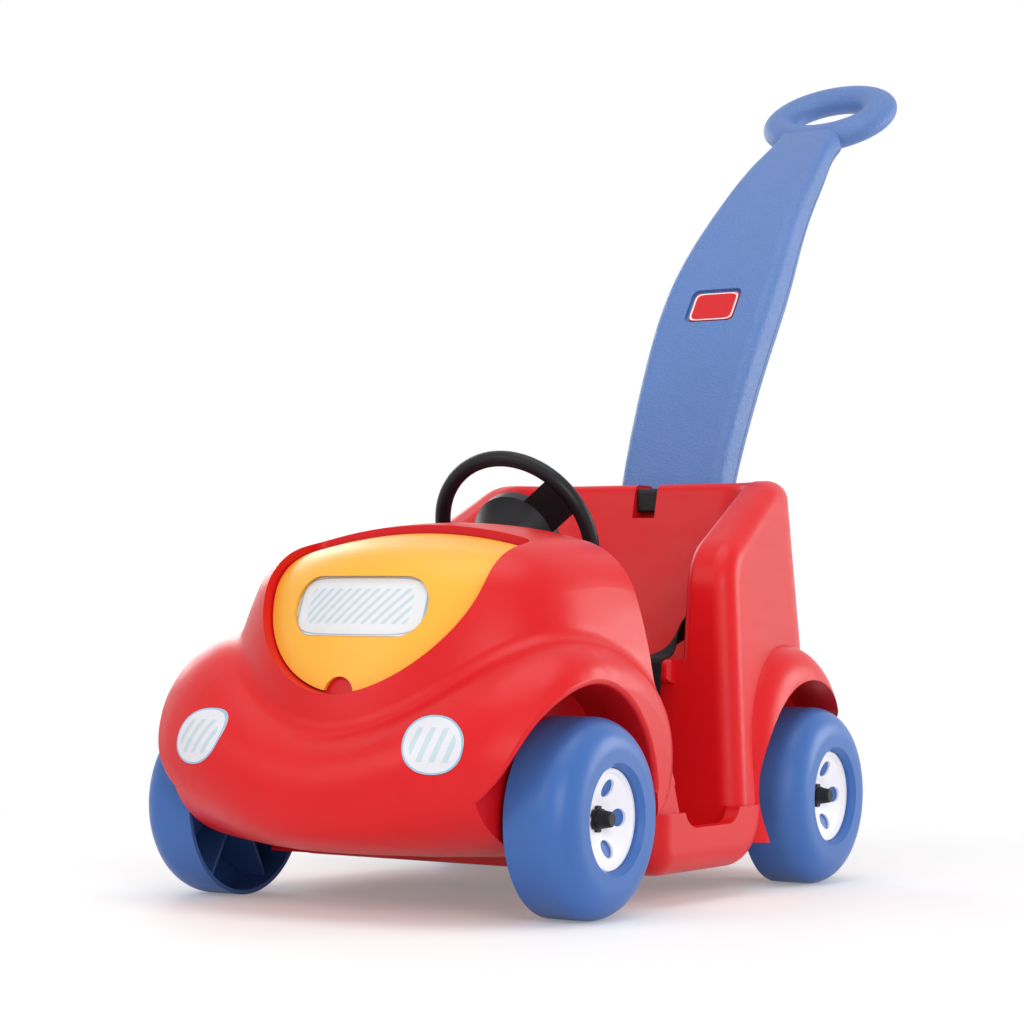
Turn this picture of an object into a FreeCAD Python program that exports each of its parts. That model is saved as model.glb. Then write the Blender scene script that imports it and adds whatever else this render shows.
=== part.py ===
import FreeCAD, Part
import math
import os
import re
from types import SimpleNamespace

import Sketcher
from FreeCAD import Placement, Rotation, Vector

# Toddler push car: a one-piece moulded body on four hollow wheels, with a hinged hood lid over a
# storage bin, a turning steering wheel with a horn button, a lap belt and a fold-down push handle.
# Frame: +X forward, +Y to the car's left, +Z up, millimetres. The ground is Z = 0 and the origin
# lies under the middle of the overall length.

SIZES = {
    # Running gear
    "wheelbase": 478,
    "track_width": 496,         # over the outer faces of the wheels
    "wheel_diameter": 190,
    "wheel_width": 67,
    "wheel_wall": 4.5,
    "wheel_shoulder": 30,       # rounding of the outer tread edge
    "wheel_lip": 53,            # radius where the outer face turns into the hub dish
    "dish_radius": 48.5,
    "dish_rim_depth": 12,       # outer face to the edge of the dished web
    "dish_depth": 25.9,         # outer face to the flat middle of the web
    "dish_flat": 16,            # radius of the flat middle
    "hub_boss": 11,             # boss radius
    "boss_end": 3,              # boss end, above the open inner face
    "rib_width": 3.5,
    "rib_count": 6,
    "axle_diameter": 10,
    "axle_play": 0.08,          # radial running fit of a wheel on its axle
    "end_play": 0.4,            # axial gap on each side of a wheel
    "seat_play": 0.05,          # radial fit of parts that stay still on a pin
    "disc_play": 0.7,           # hub disc edge to the dish wall
    "disc_lift": 0.1,           # hub disc to the web
    "disc_thickness": 2.5,
    "disc_bore": 7.5,           # radius of the disc's middle hole
    "disc_hole": 17,
    "disc_hole_circle": 30,     # radius of the ring of holes
    "disc_hole_count": 5,
    "cap_flange": 12.5,         # radius
    "cap_flange_height": 3,
    "cap_base": 9.5,            # radius of the cone at the flange
    "cap_nose": 7,
    "cap_height": 17,
    "cap_wall": 3,              # closed end beyond the axle
    "cap_lobes": 6,
    "cap_lobe_cut": 3.2,        # radius of each scallop
    "spacer_radius": 9,
    # Fenders and nose, lengths from the front axle
    "arch_gap": 18,             # tyre to wheel arch
    "arch_rise": 12,            # arch centre above the axle
    "arch_lip": 5,              # rounding of the front arches' outer edges
    "arch_front_shift": 8,      # arch centre ahead of the front axle
    "arch_rear_shift": 24,      # arch centre ahead of the rear axle
    "well_clear": 12,           # tyre to the round clearance about the axle
    "fender_reach": 166,        # front axle to the fender's rear end and crown
    "fender_edge": 42,          # rounding of the fender's outer edge
    "wheel_proud": 16,          # wheel face beyond the fender
    "well_gap": 9,              # inner wheel face to the well's wall
    "nose_reach": 166,          # front axle to the chin
    "corner_reach": 75,         # front axle to the fender's outermost section
    "chin_z": 112,
    "corner_z": 143,            # height of the fullest line at the fenders
    "shelf_z": 188,             # top of the bumper shelf under the hood
    "nose_belly_z": 54,
    "corner_lift": 22,          # rise of the underside towards the corners
    # Hood and cowl, lengths from the front axle
    "hood_base_z": 120,
    "hood_mid_z": 270,
    "hood_top_z": 420,
    "hood_base_front": 127,
    "hood_mid_front": 99,
    "hood_top_front": 23,
    "hood_base_half": 214,
    "hood_mid_half": 192,
    "hood_top_half": 120,
    "cowl_base_half": 226,
    "cowl_mid_half": 214,
    "cowl_top_half": 180,
    "hood_widest": -39,         # section where the nose ellipse starts
    "cowl_x": -134,             # rear face of the cowl
    "crown_x": -114,            # highest point of the hood
    "crown_z": 378,
    "crown_radius": 500,
    "shoulder_radius": 80,
    "hood_blend": 20,           # fillet between hood and fenders
    # Hood lid and storage bin
    "lid_half": 127,
    "lid_centre_z": 320,
    "lid_drop": 113,            # centre height to the rim's lowest point
    "lid_rear": -46,            # rear edge of the rim, from the front axle
    "lid_corner": 16,           # rear corners in plan
    "lid_recess": 8,            # rim to lid surface on top
    "lid_side_recess": 5,       # added to the recess on the flanks and in front
    "lid_wall": 4.5,
    "lid_gap": 2,
    "lid_rear_gap": 5,
    "lid_seat_gap": 0.5,
    "ledge": 12,                # ledge that the lid rests on
    "notch_radius": 17,         # finger notch in the lid's lower edge
    "panel_half": 78,
    "panel_low_z": 262,
    "panel_high_z": 320,
    "panel_corner": 27,
    "panel_depth": 6,
    "panel_thickness": 1.5,
    "panel_gap": 0.4,
    "hinge_x": -12,             # lid hinge, from the front axle
    "hinge_z": 348.5,
    "hinge_pin": 4,
    "hinge_pin_play": 0.05,
    "hinge_eye": 4.6,           # radius of the hinge eyes
    "hinge_half": 24,           # half length of the lid's knuckle
    "hinge_ear": 8,
    "hinge_side_gap": 0.5,
    "bulkhead_top": 342,
    "bulkhead_half": 8.5,
    "hinge_post": 40,           # half width of the bulkhead's top, which carries the hinge
    "pocket_z": 313,            # floor of the pocket that the lid's rear edge dips into
    "bin_floor_z": 252,
    # Cabin
    "pan_half": 228,
    "pan_top_z": 92,
    "belly_z": 30,
    "belly_edge": 24,
    "belly_front_round": 30,
    "belly_rear_round": 58,
    "sill_z": 76,
    "floor_z": 60,
    "seam_back": 65,            # cowl face to the seam between the two mouldings
    "sill_wall": 15,
    "pan_front": -119,          # from the front axle
    "pan_rear": 125,            # from the rear axle
    "door_lean": 43,            # the opening's lower front corner, behind the cowl face
    "door_turn_z": 185,
    "door_turn": 60,
    "door_low_turn": 28,
    "legroom_half": 152,
    "legroom_front": -49,
    "legroom_z": 262,
    "legroom_round": 30,
    "toe_pan_half": 165,        # floor under the leg room, between the wheel wells
    "toe_pan_z": 44,
    # Seat tub, lengths from the rear axle
    "arm_x": 187,               # front face of the arms
    "arm_z": 350,
    "arm_turn": 60,
    "rim_x": 24,                # where the arm line reaches the back rim
    "rim_z": 437,
    "rim_rise": 4,
    "rim_turn": 90,
    "rim_round": 11,            # inner edge
    "rim_outer_round": 22,
    "tub_low_z": 52,
    "tub_high_z": 470,
    "tub_front_half": 228,
    "tub_front_top_half": 208,
    "tub_rear_half": 198,
    "tub_rear_top_half": 174,
    "tub_rear": -126,
    "tub_rear_top": -67,
    "tub_corner": 118,
    "tub_corner_top": 96,
    "seat_z": 241,
    "seat_half": 164,
    "seat_top_half": 174,
    "seat_rear_half": 138,
    "seat_rear_top_half": 144,
    "back_x": 24,               # seat back at the seat
    "back_top_x": -30,
    "seat_corner": 52,
    "seat_dish_half": 92,       # shallow dish in the seat, between the belts
    "seat_dish_depth": 2.5,
    "seat_dish_corner": 30,
    "seat_lip": 10,
    "seat_lip_half": 150,
    "seat_lip_height": 24,
    # Rear fenders, lengths from the rear axle
    "rear_fender_front": 154,
    "rear_fender_rear": -84,
    "rear_fender_z": 259,
    "rear_fender_turn": 115,
    # Steering
    "ring_x": -217.1,           # from the front axle
    "ring_z": 367.3,
    "ring_lean": 25.5,          # degrees that the ring's top leans forward
    "ring_radius": 89,
    "ring_tube": 8.3,
    "ring_turn": 35,            # degrees that the wheel stands turned
    "spoke_width": 44,
    "spoke_thickness": 10,
    "hub_radius": 48,
    "hub_face": 8,              # ring plane to the hub's face
    "hub_nose": 20,
    "hub_depth": 46,
    "column_diameter": 16,
    "column_play": 0.05,
    "column_seat": 24,          # length of the column inside the hub
    "column_reach": 168,        # ring plane to the column's end
    "collar_radius": 13,
    "collar_thickness": 8,
    "collar_reach": 70,
    "horn_radius": 17,
    "horn_height": 11,
    "horn_proud": 7,
    "horn_travel": 4,
    "horn_play": 0.4,
    # Push handle, lengths from the rear axle
    "handle_x": -57.3,          # front face of the straight lower part
    "handle_thickness": 50,
    "handle_neck_thickness": 37,
    "handle_bend_z": 353,
    "handle_bend": 270,
    "handle_lean": 19,          # degrees at the start of the long curve
    "handle_curve": 960,
    "handle_arc": 36.4,         # degrees of the long curve
    "handle_base_half": 66,
    "handle_mid_half": 72.5,
    "handle_neck_half": 41,
    "handle_edge": 13,
    "pivot_x": -82,
    "pivot_z": 200,
    "pivot_diameter": 12,
    "pivot_play": 0.08,
    "pivot_seat": 20,           # length of the pin in each channel wall
    "heel_radius": 25,
    "channel_gap": 3,           # handle face to the channel's front wall
    "channel_side_gap": 4,
    "channel_low_z": 165,
    "loop_tilt": 36.7,          # degrees above level
    "loop_long": 54.8,
    "loop_wide": 67.3,
    "loop_tube": 23,            # half width of the grip in the loop's plane
    "loop_tube_height": 17,     # half height across that plane
    "badge_turn": 14.7,         # degrees along the long curve
    "badge_width": 66,
    "badge_height": 50,
    "badge_corner": 9,
    "badge_depth": 4.5,
    "badge_plate": 2,
    "badge_gap": 4,             # recess wall to the plate
    # Handle latch, lengths from the rear axle
    "latch_width": 27,
    "latch_front": -24,
    "latch_low_z": 406,
    "latch_mid_z": 415,
    "latch_high_z": 434,
    "latch_depth": 8,
    "latch_gap": 0.8,
    "latch_pin": 5,
    "latch_pin_play": 0.05,
    "latch_pin_x": -46,
    "latch_pin_z": 425,
    "latch_pin_half": 22,
    "latch_pad_gap": 4,         # pad to the handle's face
    "latch_pad_height": 8,
    "latch_swing": 7,           # room behind the tongue and under its tip
    "latch_under": 3.5,         # free height under the lever
    # Belt
    "belt_width": 30,
    "belt_thickness": 1.6,
    "belt_y": 125,
    "belt_gap": 0.4,            # webbing from the seat and from its fastener's slot
    "belt_end_z": 138,
    "buckle_width": 38,
    "buckle_length": 46,
    "buckle_thickness": 13,
    "tongue_width": 37,
    "tongue_length": 40,
    "tongue_thickness": 6,
    # Lamps
    "lamp_y": 107,
    "lamp_z": 165,
    "lamp_half_width": 30,
    "lamp_half_height": 27,
    "lamp_depth": 3,
    "lamp_gap": 0.3,
    "lamp_aim": 22,             # degrees that each lamp faces outward
}

doc = FreeCAD.newDocument("push_car")
sheet = doc.addObject("Spreadsheet::Sheet", "sizes")
for row, (name, size) in enumerate(SIZES.items(), 1):
    sheet.set(f"A{row}", name)
    sheet.set(f"B{row}", str(size))
    sheet.setAlias(f"B{row}", name)
doc.recompute()
S = SimpleNamespace(**{name: float(sheet.get(name)) for name in SIZES})


# Expressions that place things along the car

# Centre of the loop, from the rear axle: the end of the handle's long curve
CURVE_X = "(handle_x - handle_bend + (handle_bend - handle_curve) * cos(handle_lean))"
LOOP_REACH = "(handle_curve - handle_thickness / 2)"
LOOP_X = (f"({CURVE_X} + {LOOP_REACH} * cos(handle_lean + handle_arc + 1)"
          " - loop_long * cos(loop_tilt))")
# Middle of the wheelbase, placed so that nose and loop end lie evenly about the origin
LOOP_END = ("(loop_long * cos(loop_tilt)"
            " + sqrt((loop_tube * cos(loop_tilt))^2 + (loop_tube_height * sin(loop_tilt))^2))")
MID = f"(({LOOP_END} - nose_reach - {LOOP_X}) / 2)"
FRONT = f"({MID} + wheelbase / 2)"
REAR = f"({MID} - wheelbase / 2)"
AXLE_Z = "wheel_diameter / 2"


def tied(text):
    """Point each size name in an expression at the sheet."""
    return re.sub(r"[a-z][a-z_]*",
                  lambda m: f"sizes.{m.group()}" if m.group() in SIZES else m.group(), text)


def worth(text):
    """Number that an expression gives now."""
    return float(sheet.evalExpression(tied(text)))


def bind(item, prop, text):
    """Drive a property of an object from the sheet."""
    item.setExpression(prop, tied(text))


def place(item, x, y, z, turn=None):
    """Give an object a placement whose position follows the sheet."""
    item.Placement = Placement(Vector(worth(x), worth(y), worth(z)), turn or Rotation())
    for axis, text in zip("xyz", (x, y, z)):
        bind(item, f"Placement.Base.{axis}", text)


# Helpers for bodies of sketches and features

def new_body(label):
    """Empty body whose label becomes the part's file name."""
    body = doc.addObject("PartDesign::Body", label)
    body.Label = label
    return body


def sketch_on(body, role):
    """Sketch on one of the body's own origin planes."""
    sketch = body.newObject("Sketcher::SketchObject", "outline")
    plane = [item for item in body.Origin.OriginFeatures if item.Role == role][0]
    sketch.AttachmentSupport = (plane, "")
    sketch.MapMode = "FlatFace"
    return sketch


def pin_point(sketch, geometry, point, across, up):
    """Tie one sketch point to the sketch origin by two sheet expressions."""
    for kind, text in (("DistanceX", across), ("DistanceY", up)):
        rule = Sketcher.Constraint(kind, -1, 1, geometry, point, worth(text))
        bind(sketch, f"Constraints[{sketch.addConstraint(rule)}]", text)


def outline_sketch(body, role, corners):
    """Closed outline of straight lines through corners given as expressions."""
    sketch = sketch_on(body, role)
    points = [Vector(worth(across), worth(up), 0) for across, up in corners]
    count = len(points)
    for index, point in enumerate(points):
        sketch.addGeometry(Part.LineSegment(point, points[(index + 1) % count]), False)
    for index in range(count):
        sketch.addConstraint(Sketcher.Constraint("Coincident", index, 2, (index + 1) % count, 1))
    for index, (across, up) in enumerate(corners):
        pin_point(sketch, index, 1, across, up)
    return sketch


def circle_sketch(body, role, across, up, radius):
    """One circle placed and sized by expressions."""
    sketch = sketch_on(body, role)
    centre = Vector(worth(across), worth(up), 0)
    sketch.addGeometry(Part.Circle(centre, Vector(0, 0, 1), worth(radius)), False)
    pin_point(sketch, 0, 3, across, up)
    rule = Sketcher.Constraint("Radius", 0, worth(radius))
    bind(sketch, f"Constraints[{sketch.addConstraint(rule)}]", radius)
    return sketch


def turned(body, corners):
    """Body of revolution about Z from a half section of (radius, height) corners."""
    sketch = outline_sketch(body, "XZ_Plane", corners)
    feature = body.newObject("PartDesign::Revolution", "turned")
    feature.Profile = sketch
    feature.ReferenceAxis = (sketch, ["V_Axis"])
    feature.Angle = 360
    doc.recompute()
    return feature


def rounded_rim(body, base, radius, rim_radius, height):
    """Fillet the circular edge that has the given radius and height."""
    names = []
    for index, edge in enumerate(base.Shape.Edges, 1):
        curve = edge.Curve
        if isinstance(curve, Part.Circle) and abs(curve.Radius - worth(rim_radius)) < 0.01:
            if abs(curve.Center.z - worth(height)) < 0.01:
                names.append(f"Edge{index}")
    fillet = body.newObject("PartDesign::Fillet", "rounding")
    fillet.Base = (base, names)
    bind(fillet, "Radius", radius)
    doc.recompute()
    return fillet


def ringed(body, feature, count):
    """Repeat a feature round the body's Z axis."""
    pattern = body.newObject("PartDesign::PolarPattern", "ring")
    pattern.Originals = [feature]
    axis = [item for item in body.Origin.OriginFeatures if item.Role == "Z_Axis"][0]
    pattern.Axis = (axis, [""])
    pattern.Angle = 360
    bind(pattern, "Occurrences", count)
    body.Tip = pattern
    doc.recompute()
    return pattern


def pocket_through(body, sketch):
    """Cut a sketch through the whole body on both sides of its plane."""
    cut = body.newObject("PartDesign::Pocket", "cut")
    cut.Profile = sketch
    cut.Type = "ThroughAll"
    cut.Midplane = True
    doc.recompute()
    return cut


def primitive(kind, label, **sizes):
    """Part primitive whose sizes follow the sheet."""
    item = doc.addObject(f"Part::{kind}", label)
    item.Label = label
    for prop, text in sizes.items():
        bind(item, prop, text)
    return item


def moulded(label, shape, x=MID, y="0", z="0", turn=None):
    """Finished free form as a document object, placed after its shape is set."""
    item = doc.addObject("Part::Feature", label)
    item.Label = label
    item.Shape = shape
    place(item, x, y, z, turn)
    return item


# Helpers for free forms

def superellipse(angle, power):
    """Point of a unit superellipse at an angle in degrees."""
    c = math.cos(math.radians(angle))
    s = math.sin(math.radians(angle))
    return math.copysign(abs(c) ** (2 / power), c), math.copysign(abs(s) ** (2 / power), s)


def ease(share):
    """Smooth step from 0 to 1."""
    share = min(max(share, 0), 1)
    return share * share * (3 - 2 * share)


def spline(points, closed=False):
    """Smooth edge through points."""
    curve = Part.BSplineCurve()
    curve.interpolate(points, PeriodicFlag=closed)
    return curve.toShape()


def rounded_wire(corners):
    """Closed wire through (point, radius) corners, each rounded by its own radius."""
    ends = []
    count = len(corners)
    for index, (point, radius) in enumerate(corners):
        back = (corners[index - 1][0] - point).normalize()
        ahead = (corners[(index + 1) % count][0] - point).normalize()
        half = back.getAngle(ahead) / 2
        reach = radius / math.tan(half)
        middle = point + (back + ahead).normalize() * (radius / math.sin(half) - radius)
        ends.append((point + back * reach, middle, point + ahead * reach, radius))
    edges = []
    for index, (start, middle, finish, radius) in enumerate(ends):
        if radius > 0:
            edges.append(Part.Arc(start, middle, finish).toShape())
        edges.append(Part.LineSegment(finish, ends[(index + 1) % count][0]).toShape())
    return Part.Wire(edges)


def side_prism(corners, half, middle=0):
    """Prism across the car from (x, z, radius) corners of its side view."""
    wire = rounded_wire([(Vector(x, middle - half, z), radius) for x, z, radius in corners])
    return Part.Face(wire).extrude(Vector(0, 2 * half, 0))


def box(x_range, y_range, z_range):
    """Block between three pairs of limits."""
    sizes = [high - low for low, high in (x_range, y_range, z_range)]
    return Part.makeBox(*sizes, Vector(x_range[0], y_range[0], z_range[0]))


def cross_rod(radius, x, z, low_y, high_y):
    """Round bar across the car."""
    return Part.makeCylinder(radius, high_y - low_y, Vector(x, low_y, z), Vector(0, 1, 0))


def mirrored(shape):
    """Copy on the other side of the car's middle plane."""
    return shape.mirror(Vector(0, 0, 0), Vector(0, 1, 0))


# Places along the car, from the middle of the wheelbase

front_x = S.wheelbase / 2
rear_x = -S.wheelbase / 2
axle_z = S.wheel_diameter / 2
cowl_x = front_x + S.cowl_x
arm_x = rear_x + S.arm_x
well_y = S.track_width / 2 - S.wheel_width - S.well_gap
fender_half = S.track_width / 2 - S.wheel_proud
arch_radius = axle_z + S.arch_gap


# Running gear

HUB = "(wheel_width - dish_depth)"


def make_wheel(label):
    """Hollow wheel, open on its inner side, with a dished web and radial ribs."""
    body = new_body(label)
    tread = "wheel_diameter / 2"
    bore = "axle_diameter / 2 + axle_play"
    base = turned(body, [
        (tread, "0"), (tread, "wheel_width"), ("wheel_lip", "wheel_width"),
        ("dish_radius", "wheel_width - 5"), ("dish_radius", "wheel_width - dish_rim_depth"),
        ("dish_flat", HUB), (bore, HUB), (bore, "boss_end"), ("hub_boss", "boss_end"),
        ("hub_boss", f"{HUB} - wheel_wall"),
        ("dish_radius + 3.5", "wheel_width - dish_rim_depth - wheel_wall"),
        ("wheel_lip", "wheel_width - wheel_wall"),
        (f"{tread} - wheel_wall", "wheel_width - wheel_wall"), (f"{tread} - wheel_wall", "0")])
    base = rounded_rim(body, base, "wheel_shoulder", tread, "wheel_width")
    base = rounded_rim(body, base, "wheel_shoulder - wheel_wall", f"{tread} - wheel_wall",
                       "wheel_width - wheel_wall")
    rib = body.newObject("PartDesign::Pad", "rib")
    rib.Profile = outline_sketch(body, "XZ_Plane", [
        ("hub_boss - 3", "4 * boss_end"), (f"{tread} - wheel_wall + 1.5", "4 * boss_end"),
        (f"{tread} - wheel_wall + 1.5", "wheel_width - wheel_shoulder + 1"),
        (f"{tread} - wheel_shoulder + 1", "wheel_width - wheel_wall + 1"),
        ("wheel_lip + 1", "wheel_width - wheel_wall + 1"),
        ("dish_radius + 2.5", "wheel_width - dish_rim_depth - 2"),
        ("hub_boss - 2", f"{HUB} - wheel_wall - 1.6")])
    bind(rib, "Length", "rib_width")
    rib.Midplane = True
    doc.recompute()
    ringed(body, rib, "rib_count")
    return body


def make_disc(label):
    """Dished hub disc with a ring of round holes."""
    body = new_body(label)
    edge = "dish_radius - disc_play"
    low = f"{HUB} + disc_lift"
    rise = "wheel_width - dish_rim_depth + disc_lift"
    turned(body, [
        ("disc_bore", low), ("dish_flat", low), (edge, f"{rise} - disc_play / 2"),
        (edge, f"{rise} + disc_thickness + 0.6"), (f"{edge} - 3", f"{rise} + disc_thickness + 0.4"),
        (f"{edge} - 5", f"{rise} + disc_thickness - 2.4"),
        ("dish_flat", f"{low} + disc_thickness"), ("disc_bore", f"{low} + disc_thickness")])
    hole = pocket_through(body, circle_sketch(body, "XY_Plane", "-disc_hole_circle", "0",
                                              "disc_hole / 2"))
    ringed(body, hole, "disc_hole_count")
    return body


def make_cap(label):
    """Push-on axle cap with a scalloped flange."""
    body = new_body(label)
    bore = "axle_diameter / 2 + seat_play"
    base = turned(body, [
        (bore, "0"), ("cap_flange", "0"), ("cap_flange", "cap_flange_height"),
        ("cap_base", "cap_flange_height"), ("cap_nose", "cap_height"), ("0", "cap_height"),
        ("0", "cap_height - cap_wall"), (bore, "cap_height - cap_wall")])
    rounded_rim(body, base, "2", "cap_nose", "cap_height")
    scallop = pocket_through(body, circle_sketch(body, "XY_Plane", "cap_flange + cap_lobe_cut / 3",
                                                 "0", "cap_lobe_cut"))
    ringed(body, scallop, "cap_lobes")
    return body


CAP_Y = "(track_width / 2 - dish_depth + disc_lift + disc_thickness + end_play)"
AXLE_END = f"({CAP_Y} + cap_height - cap_wall - 1)"
WELL_Y = "(track_width / 2 - wheel_width - well_gap)"
parts = []
for end, axle_x in (("front", FRONT), ("rear", REAR)):
    axle = primitive("Cylinder", f"{end}_axle", Radius="axle_diameter / 2", Height=f"2 * {AXLE_END}")
    place(axle, axle_x, f"-{AXLE_END}", AXLE_Z, Rotation(Vector(1, 0, 0), -90))
    parts.append(axle)
    for side, sign, turn in (("left", "", -90), ("right", "-", 90)):
        facing = Rotation(Vector(1, 0, 0), turn)
        wheel = make_wheel(f"{end}_{side}_wheel")
        disc = make_disc(f"{end}_{side}_hub_disc")
        for item in (wheel, disc):
            place(item, axle_x, f"{sign}(track_width / 2 - wheel_width)", AXLE_Z, facing)
        cap = make_cap(f"{end}_{side}_axle_cap")
        place(cap, axle_x, f"{sign}{CAP_Y}", AXLE_Z, facing)
        spacer = new_body(f"{end}_{side}_spacer")
        bore = "axle_diameter / 2 + seat_play"
        length = "well_gap + boss_end - end_play"
        turned(spacer, [(bore, "0"), ("spacer_radius", "0"), ("spacer_radius", length),
                        (bore, length)])
        place(spacer, axle_x, f"{sign}{WELL_Y}", AXLE_Z, facing)
        parts += [wheel, disc, cap, spacer]


# Moulded body

def front_skirt():
    """Nose and front fenders: one smooth loft across the car through closed side sections."""
    wires = []
    for share in (-1, -0.945, -0.81, -0.6, -0.36, 0, 0.36, 0.6, 0.81, 0.945, 1):
        out = abs(share)
        swell = ease(out / 0.8)
        over = max(out * fender_half - (fender_half - S.fender_edge), 0) / S.fender_edge
        drop = S.fender_edge * (1 - math.sqrt(max(1 - over * over, 0)))
        crown = axle_z + S.fender_reach
        reach = S.corner_reach + (S.nose_reach - S.corner_reach) * math.sqrt(1 - out * out)
        crest = S.shelf_z + (crown - S.shelf_z) * ease((out - 0.08) / 0.72) - drop
        low = S.nose_belly_z + S.corner_lift * out ** 5
        back = S.fender_reach - drop
        full = S.chin_z + (S.corner_z - S.chin_z) * swell
        points = []
        for angles, length, height, power in (
                ((90, 67.5, 45, 22.5, 0), reach, crest - full, 2.5 - 0.65 * swell),
                ((-22.5, -45, -67.5, -90), reach, full - low, 3.2 - 1.2 * swell),
                ((-120, -150, -180), back, full - low, 2.6),
                ((157.5, 135, 112.5), back, crest - full, 2.3)):
            for angle in angles:
                c, s = superellipse(angle, power)
                points.append(Vector(front_x + length * c, share * fender_half, full + height * s))
        wires.append(Part.Wire(spline(points, closed=True)))
    return Part.makeLoft(wires, True, False)


def hood_dome(inset=0):
    """Hood and cowl, cut off by a shallow dome on top; the inset gives an inner copy."""
    wires = []
    flank = inset + S.lid_side_recess if inset > 0 else 0
    widest = front_x + S.hood_widest
    rear = cowl_x - 45
    for z, front, half, cowl_half in (
            (S.hood_base_z, S.hood_base_front, S.hood_base_half, S.cowl_base_half),
            (S.hood_mid_z, S.hood_mid_front, S.hood_mid_half, S.cowl_mid_half),
            (S.hood_top_z, S.hood_top_front, S.hood_top_half, S.cowl_top_half)):
        length = front_x + front - flank - widest
        points = [Vector(rear, flank - cowl_half, z)]
        for step in range(9):
            c, s = superellipse(22.5 * step - 90, 2)
            points.append(Vector(widest + length * c, (half - flank) * s, z))
        points.append(Vector(rear, cowl_half - flank, z))
        closing = Part.LineSegment(points[-1], points[0]).toShape()
        wires.append(Part.Wire([spline(points), closing]))
    block = Part.makeLoft(wires, True, False)
    centre = Vector(front_x + S.crown_x, 0, S.crown_z - S.crown_radius)
    ball = Part.makeSphere(S.crown_radius - inset, centre, Vector(0, 1, 0))
    ball.rotate(centre, Vector(0, 1, 0), 90)
    dome = block.common(ball).Solids[0]
    brow = [edge for edge in dome.Edges
            if edge.BoundBox.ZMin > S.hood_mid_z and edge.BoundBox.XMax > cowl_x
            and edge.BoundBox.YLength > 1 and edge.BoundBox.XLength > 1]
    return dome.makeFillet(S.shoulder_radius - inset, brow)


def lid_prism(inset, rear_gap):
    """Column along the car with the lid's front-view outline, pulled in by an inset."""
    rear = front_x + S.lid_rear + rear_gap
    half = S.lid_half - inset
    low = []
    for angle in range(180, 361, 15):
        c, s = superellipse(angle, 1.8)
        low.append(Vector(rear, half * c, S.lid_centre_z + (S.lid_drop - inset) * s))
    top = [Vector(rear, half, S.hood_top_z), Vector(rear, -half, S.hood_top_z)]
    outline = Part.Wire([spline(low), Part.LineSegment(low[-1], top[0]).toShape(),
                         Part.LineSegment(top[0], top[1]).toShape(),
                         Part.LineSegment(top[1], low[0]).toShape()])
    prism = Part.Face(outline).extrude(Vector(S.nose_reach, 0, 0))
    corners = [edge for edge in prism.Edges
               if edge.BoundBox.XLength < 0.01 and edge.BoundBox.YLength < 0.01
               and edge.BoundBox.XMax < rear + 1]
    return prism.makeFillet(max(S.lid_corner - inset, 2), corners)


def panel_prism(grow):
    """Column along the car with the outline of the lid's panel."""
    start = front_x + S.lid_rear
    half = S.panel_half + grow
    low = S.panel_low_z - grow
    high = S.panel_high_z + grow
    corner = S.panel_corner + grow
    wire = rounded_wire([(Vector(start, y, z), corner) for y, z in (
        (-half, low), (half, low), (half * 0.97, high), (-half * 0.97, high))])
    return Part.Face(wire).extrude(Vector(S.nose_reach, 0, 0))


def tub_outline(z, front, front_half, rear, rear_half, corner):
    """Level outline with rounded rear corners."""
    return rounded_wire([
        (Vector(front, -front_half, z), 0), (Vector(front, front_half, z), 0),
        (Vector(rear, rear_half, z), corner), (Vector(rear, -rear_half, z), corner)])


def seat_tub():
    """Rear body with arms and back rim, the seat space taken out and the rim rounded."""
    shell = Part.makeLoft([
        tub_outline(S.tub_low_z, arm_x, S.tub_front_half, rear_x + S.tub_rear, S.tub_rear_half,
                    S.tub_corner),
        tub_outline(S.tub_high_z, arm_x, S.tub_front_top_half, rear_x + S.tub_rear_top,
                    S.tub_rear_top_half, S.tub_corner_top)], True, True)
    far = rear_x - 2 * S.fender_reach
    below = side_prism([
        (arm_x, S.pan_top_z - 6, 0), (arm_x, S.arm_z, S.arm_turn),
        (rear_x + S.rim_x, S.rim_z, S.rim_turn), (far, S.rim_z + S.rim_rise, 0), (far, 0, 0),
        (rear_x + S.pan_rear - 45, 0, 0), (rear_x + S.pan_rear - 5, S.pan_top_z - 6, 0)],
        S.track_width)
    room = Part.makeLoft([
        tub_outline(S.seat_z, arm_x + 60, S.seat_half, rear_x + S.back_x, S.seat_rear_half,
                    S.seat_corner),
        tub_outline(S.tub_high_z, arm_x + 60, S.seat_top_half, rear_x + S.back_top_x,
                    S.seat_rear_top_half, S.seat_corner)], True, True)
    tub = shell.common(below).cut(room)
    # The rim's outer and inner edges; the seams that cross its top stay as they are
    outer_rim = []
    inner_rim = []
    for edge in tub.Edges:
        middle = edge.valueAt((edge.FirstParameter + edge.LastParameter) / 2)
        above = Part.Vertex(middle + Vector(0, 0, 0.5))
        seam = edge.BoundBox.XLength < 0.5 and abs(middle.y) > 1
        if below.distToShape(above)[0] > 0.2 and middle.x < arm_x - 0.1 and not seam:
            by_room = room.distToShape(Part.Vertex(middle))[0] < 0.1
            (inner_rim if by_room else outer_rim).append(edge)
    tub = tub.makeFillet(S.rim_outer_round, outer_rim)
    inner_rim = [edge for edge in tub.Edges
                 if any(edge.CenterOfMass.distanceToPoint(old.CenterOfMass) < 0.5 for old in inner_rim)]
    return tub.makeFillet(S.rim_round, inner_rim)


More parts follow.
